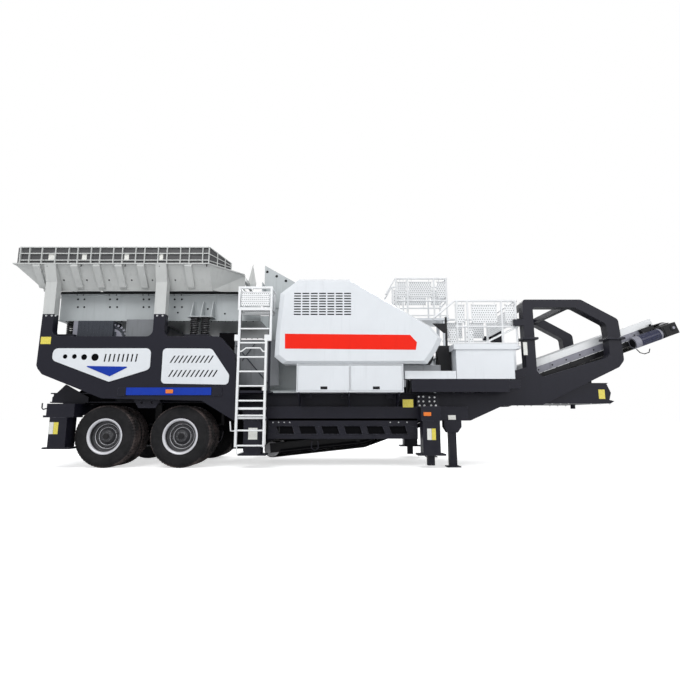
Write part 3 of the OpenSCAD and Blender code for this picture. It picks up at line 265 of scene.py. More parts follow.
def lens(name, color):
    """A moulded plastic lens or sticker film, and the dark discs of painted shade in the
    perforations.
    """
    m = Material(name)
    ribs = m.noise(120, 2, (1, 1, 4))
    m.put(m.shader.inputs["Base Color"], m.mix(m.span(ribs, 0.4, 0.6), shade(color, 0.8), color))
    m.put(m.shader.inputs["Roughness"], m.span(m.noise(30, 3), 0.3, 0.7, 0.2, 0.36))
    m.put(m.shader.inputs["Normal"], m.bump(ribs, 0.2, 0.001))
    return m.made


WHITE = (0.72, 0.745, 0.775)
NAVY = (0.0095, 0.0095, 0.017)
HOPPER_GREY = (0.55, 0.56, 0.55)
BOARD_FACE_M = 1.4585


def board_ribs(m):
    """1 on the ribs and rails that stand outside the hopper's top boards."""
    depth = m.node("Math", {"operation": "ABSOLUTE"})
    m.put(depth.inputs[0], m.split(m.place)[1])
    return m.span(depth.outputs[0], BOARD_FACE_M, BOARD_FACE_M + 0.0005)


PAINT = {
    # Navy paint: its pale edge colour is partly chipped paint and partly painted highlight.
    "navy": painted("navy_paint", NAVY, 0.42, (0.14, 0.14, 0.17), 0.8, 0.12,
                    dust_color=(0.1, 0.095, 0.09), gloss=0.22, edge=0.006),
    "black": painted("black_paint", (0.008, 0.008, 0.01), 0.46, (0.08, 0.08, 0.08), 0.6, 0.2,
                     dust_color=(0.09, 0.085, 0.08), gloss=0.25),
    # Dark discs in the perforations: painted shade.
    "hole": lens("hole_shade", (0.09, 0.095, 0.1)),
    # Flat black for plates that paint shade where there is only shade.
    "shadow": painted("painted_shade_black", (0.004, 0.004, 0.005), 0.8, (0.01, 0.01, 0.01), 0.2, 0.05,
                      dust_color=(0.03, 0.03, 0.03), gloss=0.05),
    "white": painted("white_paint", WHITE, 0.3, (0.5, 0.5, 0.5), 0.35, 0.2, mottle=0.035,
                     dust_color=(0.55, 0.54, 0.52), coat=0.2),
    "hopper": painted("hopper_paint", HOPPER_GREY, 0.42, (0.3, 0.27, 0.25), 0.5, 0.35,
                      mottle=0.09, dust_color=(0.45, 0.42, 0.38)),
    "feeder": painted("feeder_paint", (0.47, 0.5, 0.51), 0.38, (0.3, 0.28, 0.26), 0.45, 0.35,
                      mottle=0.1, dust_color=(0.4, 0.37, 0.34)),
    "boards": painted("board_paint", (0.05, 0.05, 0.053), 0.5, (0.2, 0.2, 0.2), 0.4, 0.25,
                      second=(HOPPER_GREY, board_ribs)),
    "blue": painted("blue_paint", (0.002, 0.034, 0.36), 0.34, (0.05, 0.12, 0.5), 0.5, 0.1,
                    gloss=0.25),
    "motor": painted("motor_paint", (0.005, 0.008, 0.045), 0.3, (0.3, 0.32, 0.4), 0.7, 0.15,
                     dust_color=(0.1, 0.1, 0.12)),
    "slate": painted("slate_paint", (0.035, 0.04, 0.052), 0.42, (0.2, 0.22, 0.24), 0.7, 0.3,
                     dust_color=(0.12, 0.12, 0.12), gloss=0.3),
    "band": painted("band_paint", (0.27, 0.27, 0.32), 0.4, (0.55, 0.55, 0.6), 0.7, 0.3,
                    mottle=0.16, dust_color=(0.3, 0.3, 0.32)),
    "panel": painted("panel_paint", (0.2, 0.21, 0.225), 0.45, (0.4, 0.4, 0.4), 0.5, 0.3,
                     mottle=0.2, dust_color=(0.3, 0.29, 0.28)),
    # Near-white paint for the rails, ladder, lips and sheets, lighter than the white paint: their
    # own white with painted light added.
    "rail": painted("rail_paint_with_painted_light", (0.82, 0.83, 0.84), 0.32, (0.4, 0.4, 0.42), 0.5, 0.15,
                    mottle=0.03, dust_color=(0.6, 0.6, 0.6)),
    "red": painted("red_paint", (0.84, 0.016, 0.004), 0.34, (0.8, 0.2, 0.15), 0.2, 0.05,
                   mottle=0.03, gloss=0.2),
    "iron": painted("cast_iron", (0.2, 0.2, 0.2), 0.5, (0.4, 0.38, 0.36), 0.8, 0.5,
                    metallic=0.4),
    "tyre": rubber("tyre_rubber", (0.006, 0.006, 0.007), 0.74, dust=(0.02, 0.018, 0.02)),
    "tread": rubber("tread_rubber", (0.016, 0.015, 0.016), 0.8, 24, (0.2, 0.15, 0.14)),
    "belt": rubber("belt_rubber", (0.02, 0.02, 0.02), 0.66, 30),
    "rim": painted("rim_paint", (0.68, 0.68, 0.72), 0.34, (0.4, 0.4, 0.4), 0.4, 0.25,
                   metallic=0.25),
    "dish": painted("dish_paint", (0.045, 0.045, 0.05), 0.34, (0.4, 0.4, 0.43), 0.8, 0.2,
                    metallic=0.3, dust_color=(0.1, 0.1, 0.1)),
    # Near-black coil paint: its pale edge colour is partly chipped paint and partly painted
    # highlight.
    "spring": painted("spring_paint", (0.012, 0.012, 0.014), 0.32, (0.45, 0.46, 0.47), 0.9, 0.3,
                      dust_color=(0.2, 0.2, 0.2), edge=0.003),
    "steel": metal("galvanised_steel", (0.55, 0.56, 0.57), 0.38),
    "roller": metal("roller_steel", (0.3, 0.3, 0.31), 0.4, 0.5),
    "amber": lens("amber_lens", (0.85, 0.2, 0.02)),
    "sticker": lens("blank_sticker", (0.8, 0.8, 0.76)),
    "yellow": lens("yellow_film", (0.8, 0.68, 0.1)),
}

NODE_PAINT = {
    "boards": ("top_boards",),
    "white": ("vent_panels", "drive_guards", "tool_cabinets", "cabinet_door_rear",
              "cabinet_door_front", "power_cabinets", "platform_decks"),
    "rail": ("ladder", "conveyor_skirts"),
    "hopper": ("hopper_posts", "hopper_sides", "hopper_rear_wall", "hopper_corners"),
    "feeder": ("feeder_trough", "feed_chute", "crusher_frame"),
    "blue": ("blue_trim",),
    "slate": ("feeder_drive",),
    "black": ("drive_motor", "axles", "suspension", "conveyor_frame"),
    "iron": ("jaw_plates", "pitman", "flywheels"),
    "belt": ("conveyor_belt",),
    "roller": ("conveyor_rollers",),
}


def paint_nodes():
    """Each node of the frame gets its finish; what no list names is chassis navy."""
    finish = {n: key for key, names in NODE_PAINT.items() for n in names}
    for name, piece in frame["nodes"].items():
        key = finish.get(name, "navy")
        if name.startswith("tyres"):
            key = "tyre"
        if name.startswith("rims"):
            key = "rim"
        for slot in piece.material_slots:
            slot.material = PAINT[key]


# Shapes

class Shape:
    """Solids in station millimetres, gathered into one object."""

    def __init__(self):
        self.points = []
        self.faces = []

    def add(self, points, faces):
        start = len(self.points)
        self.points += [tuple(p) for p in points]
        self.faces += [tuple(start + i for i in face) for face in faces]

    def box(self, low, high):
        (a, b, c), (d, e, f) = low, high
        self.add([(a, b, c), (d, b, c), (d, e, c), (a, e, c),
                  (a, b, f), (d, b, f), (d, e, f), (a, e, f)],
                 [(0, 3, 2, 1), (4, 5, 6, 7), (0, 1, 5, 4), (1, 2, 6, 5), (2, 3, 7, 6),
                  (3, 0, 4, 7)])

    def prism(self, outline, low, high):
        """An outline in X and Z, listed clockwise as seen from the near side."""
        n = len(outline)
        self.add([(x, low, z) for x, z in outline] + [(x, high, z) for x, z in outline],
                 [tuple(range(n)), tuple(range(2 * n - 1, n - 1, -1))]
                 + [(i, n + i, n + (i + 1) % n, (i + 1) % n) for i in range(n)])

    def rings(self, rings, closed=False, cap=True):
        """Rings of equally many points, joined one after the other."""
        n = len(rings[0])
        faces = []
        last = len(rings) if closed else len(rings) - 1
        for k in range(last):
            a, b = k * n, (k + 1) % len(rings) * n
            faces += [(a + i, b + i, b + (i + 1) % n, a + (i + 1) % n) for i in range(n)]
        if cap and not closed:
            start = (len(rings) - 1) * n
            faces += [tuple(range(n)), tuple(range(start + n - 1, start - 1, -1))]
        self.add([p for ring in rings for p in ring], faces)

    def tube(self, path, radius, sides, closed=False):
        """A round bar along a path of points, without twist."""
        path = [Vector(p) for p in path]
        rings = []
        side = None
        count = len(path)
        for i, p in enumerate(path):
            before = path[i - 1] if i or closed else p
            after = path[(i + 1) % count] if i + 1 < count or closed else p
            along = (after - before).normalized()
            if side is None:
                side = along.orthogonal().normalized()
            side = (side - along * side.dot(along)).normalized()
            other = along.cross(side)
            rings.append([p + radius * (math.cos(t) * side + math.sin(t) * other)
                          for t in (2 * math.pi * k / sides for k in range(sides))])
        self.rings(rings, closed)

    def rod(self, a, b, radius, sides):
        self.tube([a, b], radius, sides)

    def bolt(self, place, out, radius, height):
        """A hexagon head on its washer, standing out along the vector out."""
        place, out = Vector(place), Vector(out).normalized()
        side = out.orthogonal().normalized()
        other = out.cross(side)

        def ring(r, h, sides):
            return [place + out * h + r * (math.cos(t) * side + math.sin(t) * other)
                    for t in (2 * math.pi * k / sides for k in range(sides))]
        self.rings([ring(radius * 1.5, 0, 12), ring(radius * 1.5, 2, 12)])
        self.rings([ring(radius, 2, 6), ring(radius, height - 2, 6),
                    ring(radius * 0.8, height, 6)])

    def mirror(self):
        """Adds the same solids on the far side."""
        start = len(self.points)
        self.points += [(x, -y, z) for x, y, z in self.points]
        self.faces += [tuple(start + i for i in reversed(face)) for face in list(self.faces)]

    def make(self, name, paint, body="plant", bevel=0.0, smooth=None):
        """The piece, riding on its body: bevel in millimetres, smooth in degrees."""
        mesh = bpy.data.meshes.new(name)
        mesh.from_pydata([(x / 1000 + ORIGIN_X, y / 1000, z / 1000)
                          for x, y, z in self.points], [], self.faces)
        mesh.materials.append(PAINT[paint])
        piece = bpy.data.objects.new(name, mesh)
        bpy.context.scene.collection.objects.link(piece)
        if bevel:
            cut = piece.modifiers.new("edges", "BEVEL")
            cut.width = bevel / 1000
            cut.segments = 2
            cut.limit_method = "ANGLE"
            cut.angle_limit = math.radians(40)
        if smooth is not None:
            mesh.shade_smooth()
            mesh.set_sharp_from_angle(angle=math.radians(smooth))
        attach(piece, body)
        return piece


# Wheels

WHEEL_X = {"rear": -4110, "front": -2790}
TYRE_R, TREAD_R, SHOULDER_R, BEAD_R = 540, 526, 480, 286.5
TYRE_W = 290
LUGS = 60
DUAL = 340
FACE_Y = -1250
# In metres: a tyre's faces beyond this radius get the tread's rubber.
TREAD_RUBBER_R = 0.506


def tyre_rings(centre, face_y, side):
    """A lugged road tyre, as one ring of points for each of its angles.

    tread lists the depth from the face, the height over TREAD_R, and 1 on a shoulder block
    or 2 on a rib. wall lists the depth from the face and the radius. Each pitch of the tread
    has four rings, and the last two lie in the slot across it.
    """
    tread = [(28, 0, 1), (40, 12, 1), (86, 13, 1), (88, 0, 0), (100, 0, 0), (102, 14, 2),
             (138, 14, 2), (140, 2, 0), (150, 2, 0), (152, 14, 2), (188, 14, 2), (190, 0, 0),
             (202, 0, 0), (204, 13, 1), (250, 12, 1), (262, 0, 1)]
    wall = [(20, 288), (6, 296), (3, 318), (6, 322), (2, 340), (-2, 400), (-3, 440), (0, 470),
            (4, 472), (6, 492), (14, 512)]
    rings = []
    for pitch in range(LUGS):
        for part, slot in ((0.0, False), (0.66, False), (0.72, True), (0.94, True)):
            angle = 2 * math.pi * (pitch + part) / LUGS
            sunk = [(d + 5 if slot and r > SHOULDER_R else d, r) for d, r in wall]
            drops = (0, 12, 3) if slot else (0, 0, 0)
            points = sunk + [(d, TREAD_R + max(0, h - drops[kind])) for d, h, kind in tread]
            points += [(TYRE_W - d, r) for d, r in reversed(sunk)]
            points += [(TYRE_W - 30, BEAD_R), (30, BEAD_R)]
            rings.append([(centre[0] + r * math.cos(angle),
                           side * (face_y + depth), centre[1] + r * math.sin(angle))
                          for depth, r in points])
    return rings


def lathe(profile, centre, side, sides=72):
    """Rings of a profile given as depth from the wheel's face and radius."""
    return [[(centre[0] + r * math.cos(t), side * (FACE_Y + d), centre[1] + r * math.sin(t))
             for d, r in profile] for t in (2 * math.pi * k / sides for k in range(sides))]


def holed_disc(shape, centre, side, depth, inner, outer, hole_r, count):
    """A wheel disc with a ring of round hand holes, front and back."""
    middle = (inner + outer) / 2
    thick = 12
    steps = 16
    for k in range(count):
        mid = 2 * math.pi * k / count
        half = math.pi / count
        rim, hole = [], []
        for i in range(steps):
            t = 2 * math.pi * (i + 0.5) / steps
            c, s = math.cos(t), math.sin(t)
            q = max(abs(c), abs(s))
            radius = middle + (outer - inner) / 2 * c / q
            angle = mid + half * s / q
            rim.append((radius * math.cos(angle), radius * math.sin(angle)))
            dx = c * math.cos(mid) - s * math.sin(mid)
            dz = c * math.sin(mid) + s * math.cos(mid)
            hole.append((middle * math.cos(mid) + hole_r * dx,
                         middle * math.sin(mid) + hole_r * dz))
        loops = [[(centre[0] + x, side * (FACE_Y + d), centre[1] + z) for x, z in ring]
                 for ring, d in ((rim, depth), (hole, depth), (hole, depth + thick),
                                 (rim, depth + thick))]
        shape.rings(loops, cap=False)


def add_wheel(axle, end):
    """Twin tyres, rims and the outer wheel's disc and hub, all on the wheel's own body."""
    side = 1 if end == "near" else -1
    centre = (WHEEL_X[axle], TYRE_R)
    body = "wheels_%s_%s" % (axle, end)
    rubber_part = Shape()
    for start in (FACE_Y, FACE_Y + DUAL):
        rubber_part.rings(tyre_rings(centre, start, side), closed=True)
    tyres = rubber_part.make("tyre_pair_%s_%s" % (axle, end), "tyre", body, smooth=35)
    tyres.data.materials.append(PAINT["tread"])
    for face in tyres.data.polygons:
        x, z = face.center.x - ORIGIN_X - centre[0] / 1000, face.center.z - centre[1] / 1000
        if math.hypot(x, z) > TREAD_RUBBER_R:
            face.material_index = 1
    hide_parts("tyres_%s_%s" % (axle, end))
    rim = Shape()
    flange = [(8, 312), (2, 309), (0, 303), (3, 288), (12, 276), (26, 267), (36, 265),
              (40, 270), (30, 286), (14, 304)]
    rim.rings(lathe(flange, centre, side), closed=True)
    for depth, radius in ((118, 214), (127, 153)):
        step = [(depth, radius + 5), (depth - 5, radius), (depth, radius - 6), (depth + 9, radius)]
        rim.rings(lathe(step, centre, side), closed=True)
    back = [(DUAL + 4, 286), (DUAL + 40, 276), (DUAL + 250, 276), (DUAL + 286, 284),
            (DUAL + 286, 278), (DUAL + 250, 268), (DUAL + 40, 268), (DUAL + 4, 278)]
    rim.rings(lathe(back, centre, side), closed=True)
    piece = rim.make("rim_ring_%s_%s" % (axle, end), "rim", body, smooth=35)
    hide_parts("rims_%s_%s" % (axle, end))
    disc = Shape()
    barrel = [(34, 267), (112, 260), (120, 216), (158, 246), (170, 252), (124, 270), (38, 274)]
    disc.rings(lathe(barrel, centre, side), closed=True)
    holed_disc(disc, centre, side, depth=156, inner=200, outer=248, hole_r=17, count=10)
    hub = [(156, 206), (142, 198), (132, 192), (132, 142), (104, 122), (88, 108), (78, 96),
           (76, 68), (70, 62), (68, 1), (200, 1), (200, 120), (172, 204)]
    disc.rings(lathe(hub, centre, side, 48), closed=True)
    for count, offset, circle_r, depth, radius, height in ((10, 0.5, 170, 132, 14, 24),
                                                           (8, 0, 82, 77, 6, 7)):
        for k in range(count):
            angle = 2 * math.pi * (k + offset) / count
            spot = (centre[0] + circle_r * math.cos(angle), side * (FACE_Y + depth),
                    centre[1] + circle_r * math.sin(angle))
            disc.bolt(spot, (0, -side, 0), radius, height)
    disc.make("wheel_disc_%s_%s" % (axle, end), "dish", body, smooth=35)


# Feeder springs

def add_springs():
    """Coil springs between their seats and the feeder, with guide tubes inside."""
    coils = Shape()
    foot, plate, turns = 2350, 12, 7.5
    coil_r, wire_r, plate_r, guide_r = 65, 15, 82, 38
    steps = int(turns * 20)
    stands = [(x, -1080, 2690) for x in (-2690, -2490)] + [(x, -850, 2650) for x in (-5108, -4930)]
    for x, y, head in stands:
        low, high = foot + plate, head - plate
        path = []
        for k in range(steps + 1):
            t = 2 * math.pi * turns * k / steps
            path.append((x + coil_r * math.cos(t), y + coil_r * math.sin(t),
                         low + (high - low) * k / steps))
        coils.tube(path, wire_r, 8)
        coils.rod((x, y, foot), (x, y, low), plate_r, 24)
        coils.rod((x, y, high), (x, y, head), plate_r, 24)
        coils.rod((x, y, low), (x, y, low + 110), guide_r, 20)
        coils.rod((x, y, high - 90), (x, y, high), guide_r, 20)
    coils.mirror()
    piece = coils.make("coil_springs", "spring", smooth=40)
    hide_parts("feeder_springs")


# Guard rails

def perforated(shape, shade_dots, origin, across, up, columns, rows, pitch, hole, thick):
    """A sheet with staggered round holes: across and up are unit vectors in its plane.

    A dark disc halfway through each hole paints the shade seen through it.
    """
    origin, across, up = Vector(origin), Vector(across), Vector(up)
    out = across.cross(up) * thick / 2
    for c in range(columns):
        for r in range(rows):
            middle = origin + across * (c + 0.5) * pitch + up * (r + 0.5) * pitch
            shift = across * pitch * (0.2 if r % 2 else -0.2)
            edge, ring = [], []
            for k in range(8):
                t = math.pi / 4 * k
                s = max(abs(math.cos(t)), abs(math.sin(t)))
                edge.append(across * (pitch / 2 * math.cos(t) / s)
                            + up * (pitch / 2 * math.sin(t) / s))
                ring.append(shift + across * (hole * math.cos(t)) + up * (hole * math.sin(t)))
            shape.rings([[middle + p + d for p in loop]
                         for loop, d in ((edge, out), (ring, out), (ring, -out), (edge, -out))],
                        cap=False)
            # The hole's dark disc: painted shade.
            shade_dots.add([middle + p for p in ring], [tuple(range(8))])


FRONT_DECK, UPPER_DECK = 2186, 2957
TOE_RAIL, MID_RAIL, TOP_RAIL = 60, 378, 879
SHEET_LOW, SHEET_ROWS, SHEET_PITCH = 456, 8, 43
SHEET_HOLE, SHEET_THICK = 9, 3
RAIL_Y = 870


def rail_sheet(sheets, shade_dots, x0, x1, y, z):
    """A perforated sheet in its frame, between two stations."""
    columns = int((x1 - x0 - 16) / SHEET_PITCH)
    left = (x0 + x1 - columns * SHEET_PITCH) / 2
    right = left + columns * SHEET_PITCH
    top = z + SHEET_ROWS * SHEET_PITCH
    perforated(sheets, shade_dots, (left, y, z), (1, 0, 0), (0, 0, 1), columns, SHEET_ROWS,
               SHEET_PITCH, SHEET_HOLE, SHEET_THICK)
    for a, b in (((left, z), (right, z)), ((left, top), (right, top)),
                 ((left, z), (left, top)), ((right, z), (right, top))):
        sheets.box((a[0] - 7, y - 8, a[1] - 7), (b[0] + 7, y + 4, b[1] + 7))


def add_rails():
    """The guard rails of both platforms, with perforated sheets between their posts."""
    tubes, sheets, shade_dots = Shape(), Shape(), Shape()

    def run(x0, x1, y, z, posts, bays, slope=None):
        """A rail along a deck's edge. Its top tube may slope down to a point behind it."""
        path = [(x0, y, z + TOP_RAIL), (x1, y, z + TOP_RAIL)]
        tubes.tube([slope] + path if slope else path, 21, 12)
        tubes.rod((x0, y, z + MID_RAIL), (x1, y, z + MID_RAIL), 17, 12)
        tubes.rod((x0, y, z + TOE_RAIL), (x1, y, z + TOE_RAIL), 14, 10)
        for x in posts:
            tubes.rod((x, y, z), (x, y, z + TOP_RAIL - 8), 19, 12)
            tubes.rod((x, y, z), (x, y, z + 10), 40, 12)
        for a, b in bays:
            rail_sheet(sheets, shade_dots, a, b, y, z + SHEET_LOW)
            for x in (a + 60, b - 60):
                for h in (SHEET_LOW - 50, SHEET_LOW + SHEET_ROWS * SHEET_PITCH + 36):
                    tubes.rod((x, y, z + h - 40), (x, y, z + h + 40), 7, 8)

    def end(x, y0, y1, z):
        """A rail across a deck's front end."""
        for h in (TOE_RAIL, MID_RAIL, TOP_RAIL):
            tubes.rod((x, y0, z + h), (x, y1, z + h), 17, 12)
        columns = int((y1 - y0 - 120) / SHEET_PITCH)
        low = (y0 + y1 - columns * SHEET_PITCH) / 2
        perforated(sheets, shade_dots, (x, low, z + SHEET_LOW), (0, 1, 0), (0, 0, 1), columns,
                   SHEET_ROWS, SHEET_PITCH, SHEET_HOLE, SHEET_THICK)
        for y in (low, low + columns * SHEET_PITCH):
            sheets.box((x - 6, y - 6, z + MID_RAIL), (x + 6, y + 6, z + TOP_RAIL))

    run(2186, 3380, -RAIL_Y, FRONT_DECK, [2225, 2430, 3080, 3350],
        [(2180, 2385), (2484, 3010), (3140, 3335)], (1762, -RAIL_Y, 2715))
    tubes.rod((2739, -RAIL_Y, 2246), (3334, -RAIL_Y, 2545), 13, 10)
    for a, b in ((2064, 2234), (2391, 2559)):
        columns = int((b - a) / SHEET_PITCH)
        perforated(sheets, shade_dots, (a, -RAIL_Y, FRONT_DECK + 70), (1, 0, 0), (0, 0, 1), columns,
                   6, SHEET_PITCH, SHEET_HOLE, SHEET_THICK)
        sheets.box((a, -RAIL_Y - 5, FRONT_DECK + 52), (b, -RAIL_Y + 5, FRONT_DECK + 70))
    run(2330, 3380, RAIL_Y, FRONT_DECK, [2360, 2850, 3350], [(2410, 2800), (2900, 3300)])
    end(3350, -RAIL_Y, RAIL_Y, FRONT_DECK)
    for y in (200, RAIL_Y):
        run(1191, 2324, y, UPPER_DECK, [1210, 1455, 2030, 2300],
            [(1235, 1430), (1485, 1985), (2080, 2290)], (988, y, 3483))
    end(2300, 200, RAIL_Y, UPPER_DECK)
    for name, shape, smooth in (("rail_tubes", tubes, 40), ("rail_sheets", sheets, None)):
        piece = shape.make(name, "rail", smooth=smooth)
        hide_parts("guard_rails")
    # Painted shade in the rail sheets' holes.
    shade_dots.make("rail_hole_shade", "hole")


def add_landing():
    """The access landing: a perforated deck with a low guard of perforated sheets."""
    x0, x1 = -1821, -1207
    low, deck, top = 2780, 2806, 3190
    near, inner = -1440, -1010
    bar = 40
    prop_foot = 1290
    bars, sheets, shade_dots, props = Shape(), Shape(), Shape(), Shape()
    for y in (near, inner - bar):
        bars.box((x0, y, low - 30), (x1, y + bar, deck))
        bars.box((x0 + bar, y, top - bar), (x1 - bar, y + bar, top))
    for x in (x0, x1 - bar):
        bars.box((x, near + bar, low), (x + bar, inner - bar, deck))
        bars.box((x, near + bar, top - 34), (x + 34, inner - bar, top - 4))
        for y in (near, inner - bar):
            bars.box((x, y, deck), (x + bar, y + bar, top))
    for x in (x0 + 21, x1 - 60):
        props.box((x, JACK_FACE - bar, prop_foot + bar), (x + bar, JACK_FACE, low))
    props.box((x0 + 21, JACK_FACE - bar, prop_foot), (x1 - 20, -960, prop_foot + bar))
    for y in (near + 12, inner - 16):
        bars.rod((x0 + 36, y, deck + 285), (x1 - 36, y, deck + 285), 8, 8)
    pitch = 36
    columns = int((x1 - x0 - 90) / pitch)
    left = (x0 + x1 - columns * pitch) / 2
    perforated(sheets, shade_dots, (left, near + 41, deck - 3), (1, 0, 0), (0, 1, 0), columns, 9,
               pitch, 11, 4)
    perforated(sheets, shade_dots, (left, near + 14, deck + 20), (1, 0, 0), (0, 0, 1), columns, 7,
               pitch, 8, 3)
    for x in (x0 + 20, x1 - 20):
        perforated(sheets, shade_dots, (x, near + 41, deck + 20), (0, 1, 0), (0, 0, 1), 9, 7, pitch,
                   8, 3)
    # Painted shade in the landing sheets' holes.
    shade_dots.make("landing_hole_shade", "hole")
    for name, shape, paint, bevel in (("landing_frame", bars, "rail", 3),
                                      ("landing_sheets", sheets, "rail", 0),
                                      ("landing_props", props, "navy", 2)):
        piece = shape.make(name, paint, bevel=bevel)
        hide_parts("access_landing")


# Trim

def add_shade_plates_and_panels():
    """Black plates that paint shade behind openings and in gaps, and the grey panels and struts
    behind the ladder.
    """
    dark = Shape()
    # Painted shade behind the holes of the two vent panels and the guards' louvres
    dark.prism([(-4960, 1880), (-4960, 2010), (-3420, 2010), (-3420, 1760), (-4040, 1560)],
               -1384, -1380)
    dark.prism([(-3040, 1520), (-3040, 2000), (-2300, 2000), (-2020, 1620), (-2020, 1520)],
               -1384, -1380)
    dark.box((-845, -1434, 2640), (240, -1430, 3090))
    # Painted shade behind the wheels, over the rear jack's arm and along the feeder's top edge
    dark.prism([(-4700, 560), (-4700, 1240), (-2100, 1240), (-2100, 620)], -470, -466)
    dark.prism([(-4950, 1105), (-4950, 1229), (-4610, 1490), (-4150, 1400), (-4150, 1105)],
               -906, -900)
    dark.box((-5400, -1130, 3171), (-1900, -965, 3174))
    # Painted shade beside the ladder's head, behind its foot and along the conveyor's tail
    dark.box((-2250, -1003, 2150), (-1890, -999, 2420))
    dark.box((-1990, -800, 300), (-1720, -796, 960))
    dark.prism([(-1117, 275), (-509, 345), (450, 443), (666, 490),
                (665, 429), (449, 373), (-508, 266), (-1116, 191)], -599, -595)
    # Painted shade behind the sills' holes
    dark.box((-1090, -1034, 565), (1190, -1030, 735))
    dark.mirror()
    # The black plates of painted shade.
    dark.make("painted_shade_plates", "shadow")
    panel = Shape()
    panel.box((-1950, -1012, 1440), (-1120, -1004, 2290))
    panel.prism([(-3935, 2287), (-3935, 2650), (-3290, 2650), (-3290, 2287)], -1128, -1120)
    panel.box((1141, -1304, 1682), (1785, -1301, 1783))
    panel.make("grey_panels", "panel", bevel=2)
    struts = Shape()
    struts.rod((-1920, -1022, 2180), (-1300, -1022, 1460), 10, 8)
    struts.rod((-1800, -1022, 1900), (-1560, -1022, 2230), 8, 8)
    struts.make("panel_struts", "slate", smooth=40)


def add_sills():
    """The sill panels under the beams, with six slanted holes and a raised rim round each."""
    part = Shape()
    x0, x1, foot, head = -1290, 1390, 490, 850
    low, high, pitch = 578, 708, 404.6
    plate, rim = 12, 10
    face, back = SILL_FACE, SILL_FACE + plate
    part.box((x0, face, foot), (x1, back, low))
    part.box((x0, face, high), (x1, back, head))
    # Each hole's stations: its top edge's two ends, then its bottom edge's.
    holes = [[at + pitch * i for at in (-1140, -860, -1099, -819)] for i in range(6)]
    starts = [(x0, x0)] + [(t1, b1) for _, t1, _, b1 in holes]
    ends = [(t0, b0) for t0, _, b0, _ in holes] + [(x1, x1)]
    for (t0, b0), (t1, b1) in zip(starts, ends):
        part.prism([(b0, low), (t0, high), (t1, high), (b1, low)], face, back)
    y = face - 5
    for t0, t1, b0, b1 in holes:
        part.tube([(b0 - rim, y, low - 8), (t0 - rim, y, high + 12), (t1 + rim, y, high + 12),
                   (b1 + rim, y, low - 8)], 7, 8, closed=True)
    part.box((x0, back, foot), (x1, back + 60, foot + plate))
    for x in (x0, x1 - plate):
        part.box((x, back, foot + plate), (x + plate, -960, head))
    part.mirror()
    piece = part.make("pierced_sills", "navy", bevel=1.5)
    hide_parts("sill_panels")


def add_feeder_drive():
    """The feeder's motor cowl and its toothed wheel, in front of the plain drive solid."""
    cowl, pale, teeth = Shape(), Shape(), Shape()
    front = -1165
    cowl.box((-4803, front, 2306), (-4158, -835, 2617))
    for x in range(-4770, -4200, 68):
        cowl.box((x, front - 6, 2330), (x + 28, front, 2600))
    cowl.make("feeder_motor", "slate", bevel=6)
    pale.box((-4887, front + 5, 2310), (-4804, -840, 2612))
    # The upper half of the wheel: its disc, a ring round it and the teeth
    wheel_x, wheel_z = -4190, 2290
    arc = [math.radians(4 * k) for k in range(46)]
    for inner, outer, y, shape in ((2, 188, -1098, pale), (200, 232, -1102, teeth)):
        loops = [[(wheel_x + r * math.cos(t), d, wheel_z + r * math.sin(t)) for t in arc]
                 for r, d in ((outer, y), (inner, y), (inner, y + 14), (outer, y + 14))]
        for k in range(len(arc) - 1):
            shape.add([loop[i] for loop in loops for i in (k, k + 1)],
                      [(0, 1, 3, 2), (2, 3, 5, 4), (4, 5, 7, 6), (6, 7, 1, 0)])
    tooth = ((240, -16), (282, -16), (282, 16), (240, 16))
    for k in range(12):
        t = math.radians(15 * k + 7)
        c, d = math.cos(t), math.sin(t)
        pale.add([(wheel_x + r * c - w * d, y, wheel_z + r * d + w * c)
                  for y in (-1104, -1090) for r, w in tooth],
                 [(0, 1, 2, 3), (7, 6, 5, 4), (0, 4, 5, 1), (1, 5, 6, 2), (2, 6, 7, 3),
                  (3, 7, 4, 0)])
    pale.make("feeder_wheel", "band", bevel=1)
    teeth.make("feeder_wheel_ring", "slate")


SLOPE = math.radians(19.5)
HEAD_X, HEAD_Z = 6400, 2570


def inclined(u, y, w):
    """A place in the discharge conveyor's own frame: u uphill from its head, w square to it."""
    return (HEAD_X + u * math.cos(SLOPE) - w * math.sin(SLOPE), y,
            HEAD_Z + u * math.sin(SLOPE) + w * math.cos(SLOPE))


def inclined_box(shape, low, high):
    """A box whose corners are given in the conveyor's own frame."""
    start = len(shape.points)
    shape.box(low, high)
    shape.points[start:] = [inclined(*p) for p in shape.points[start:]]


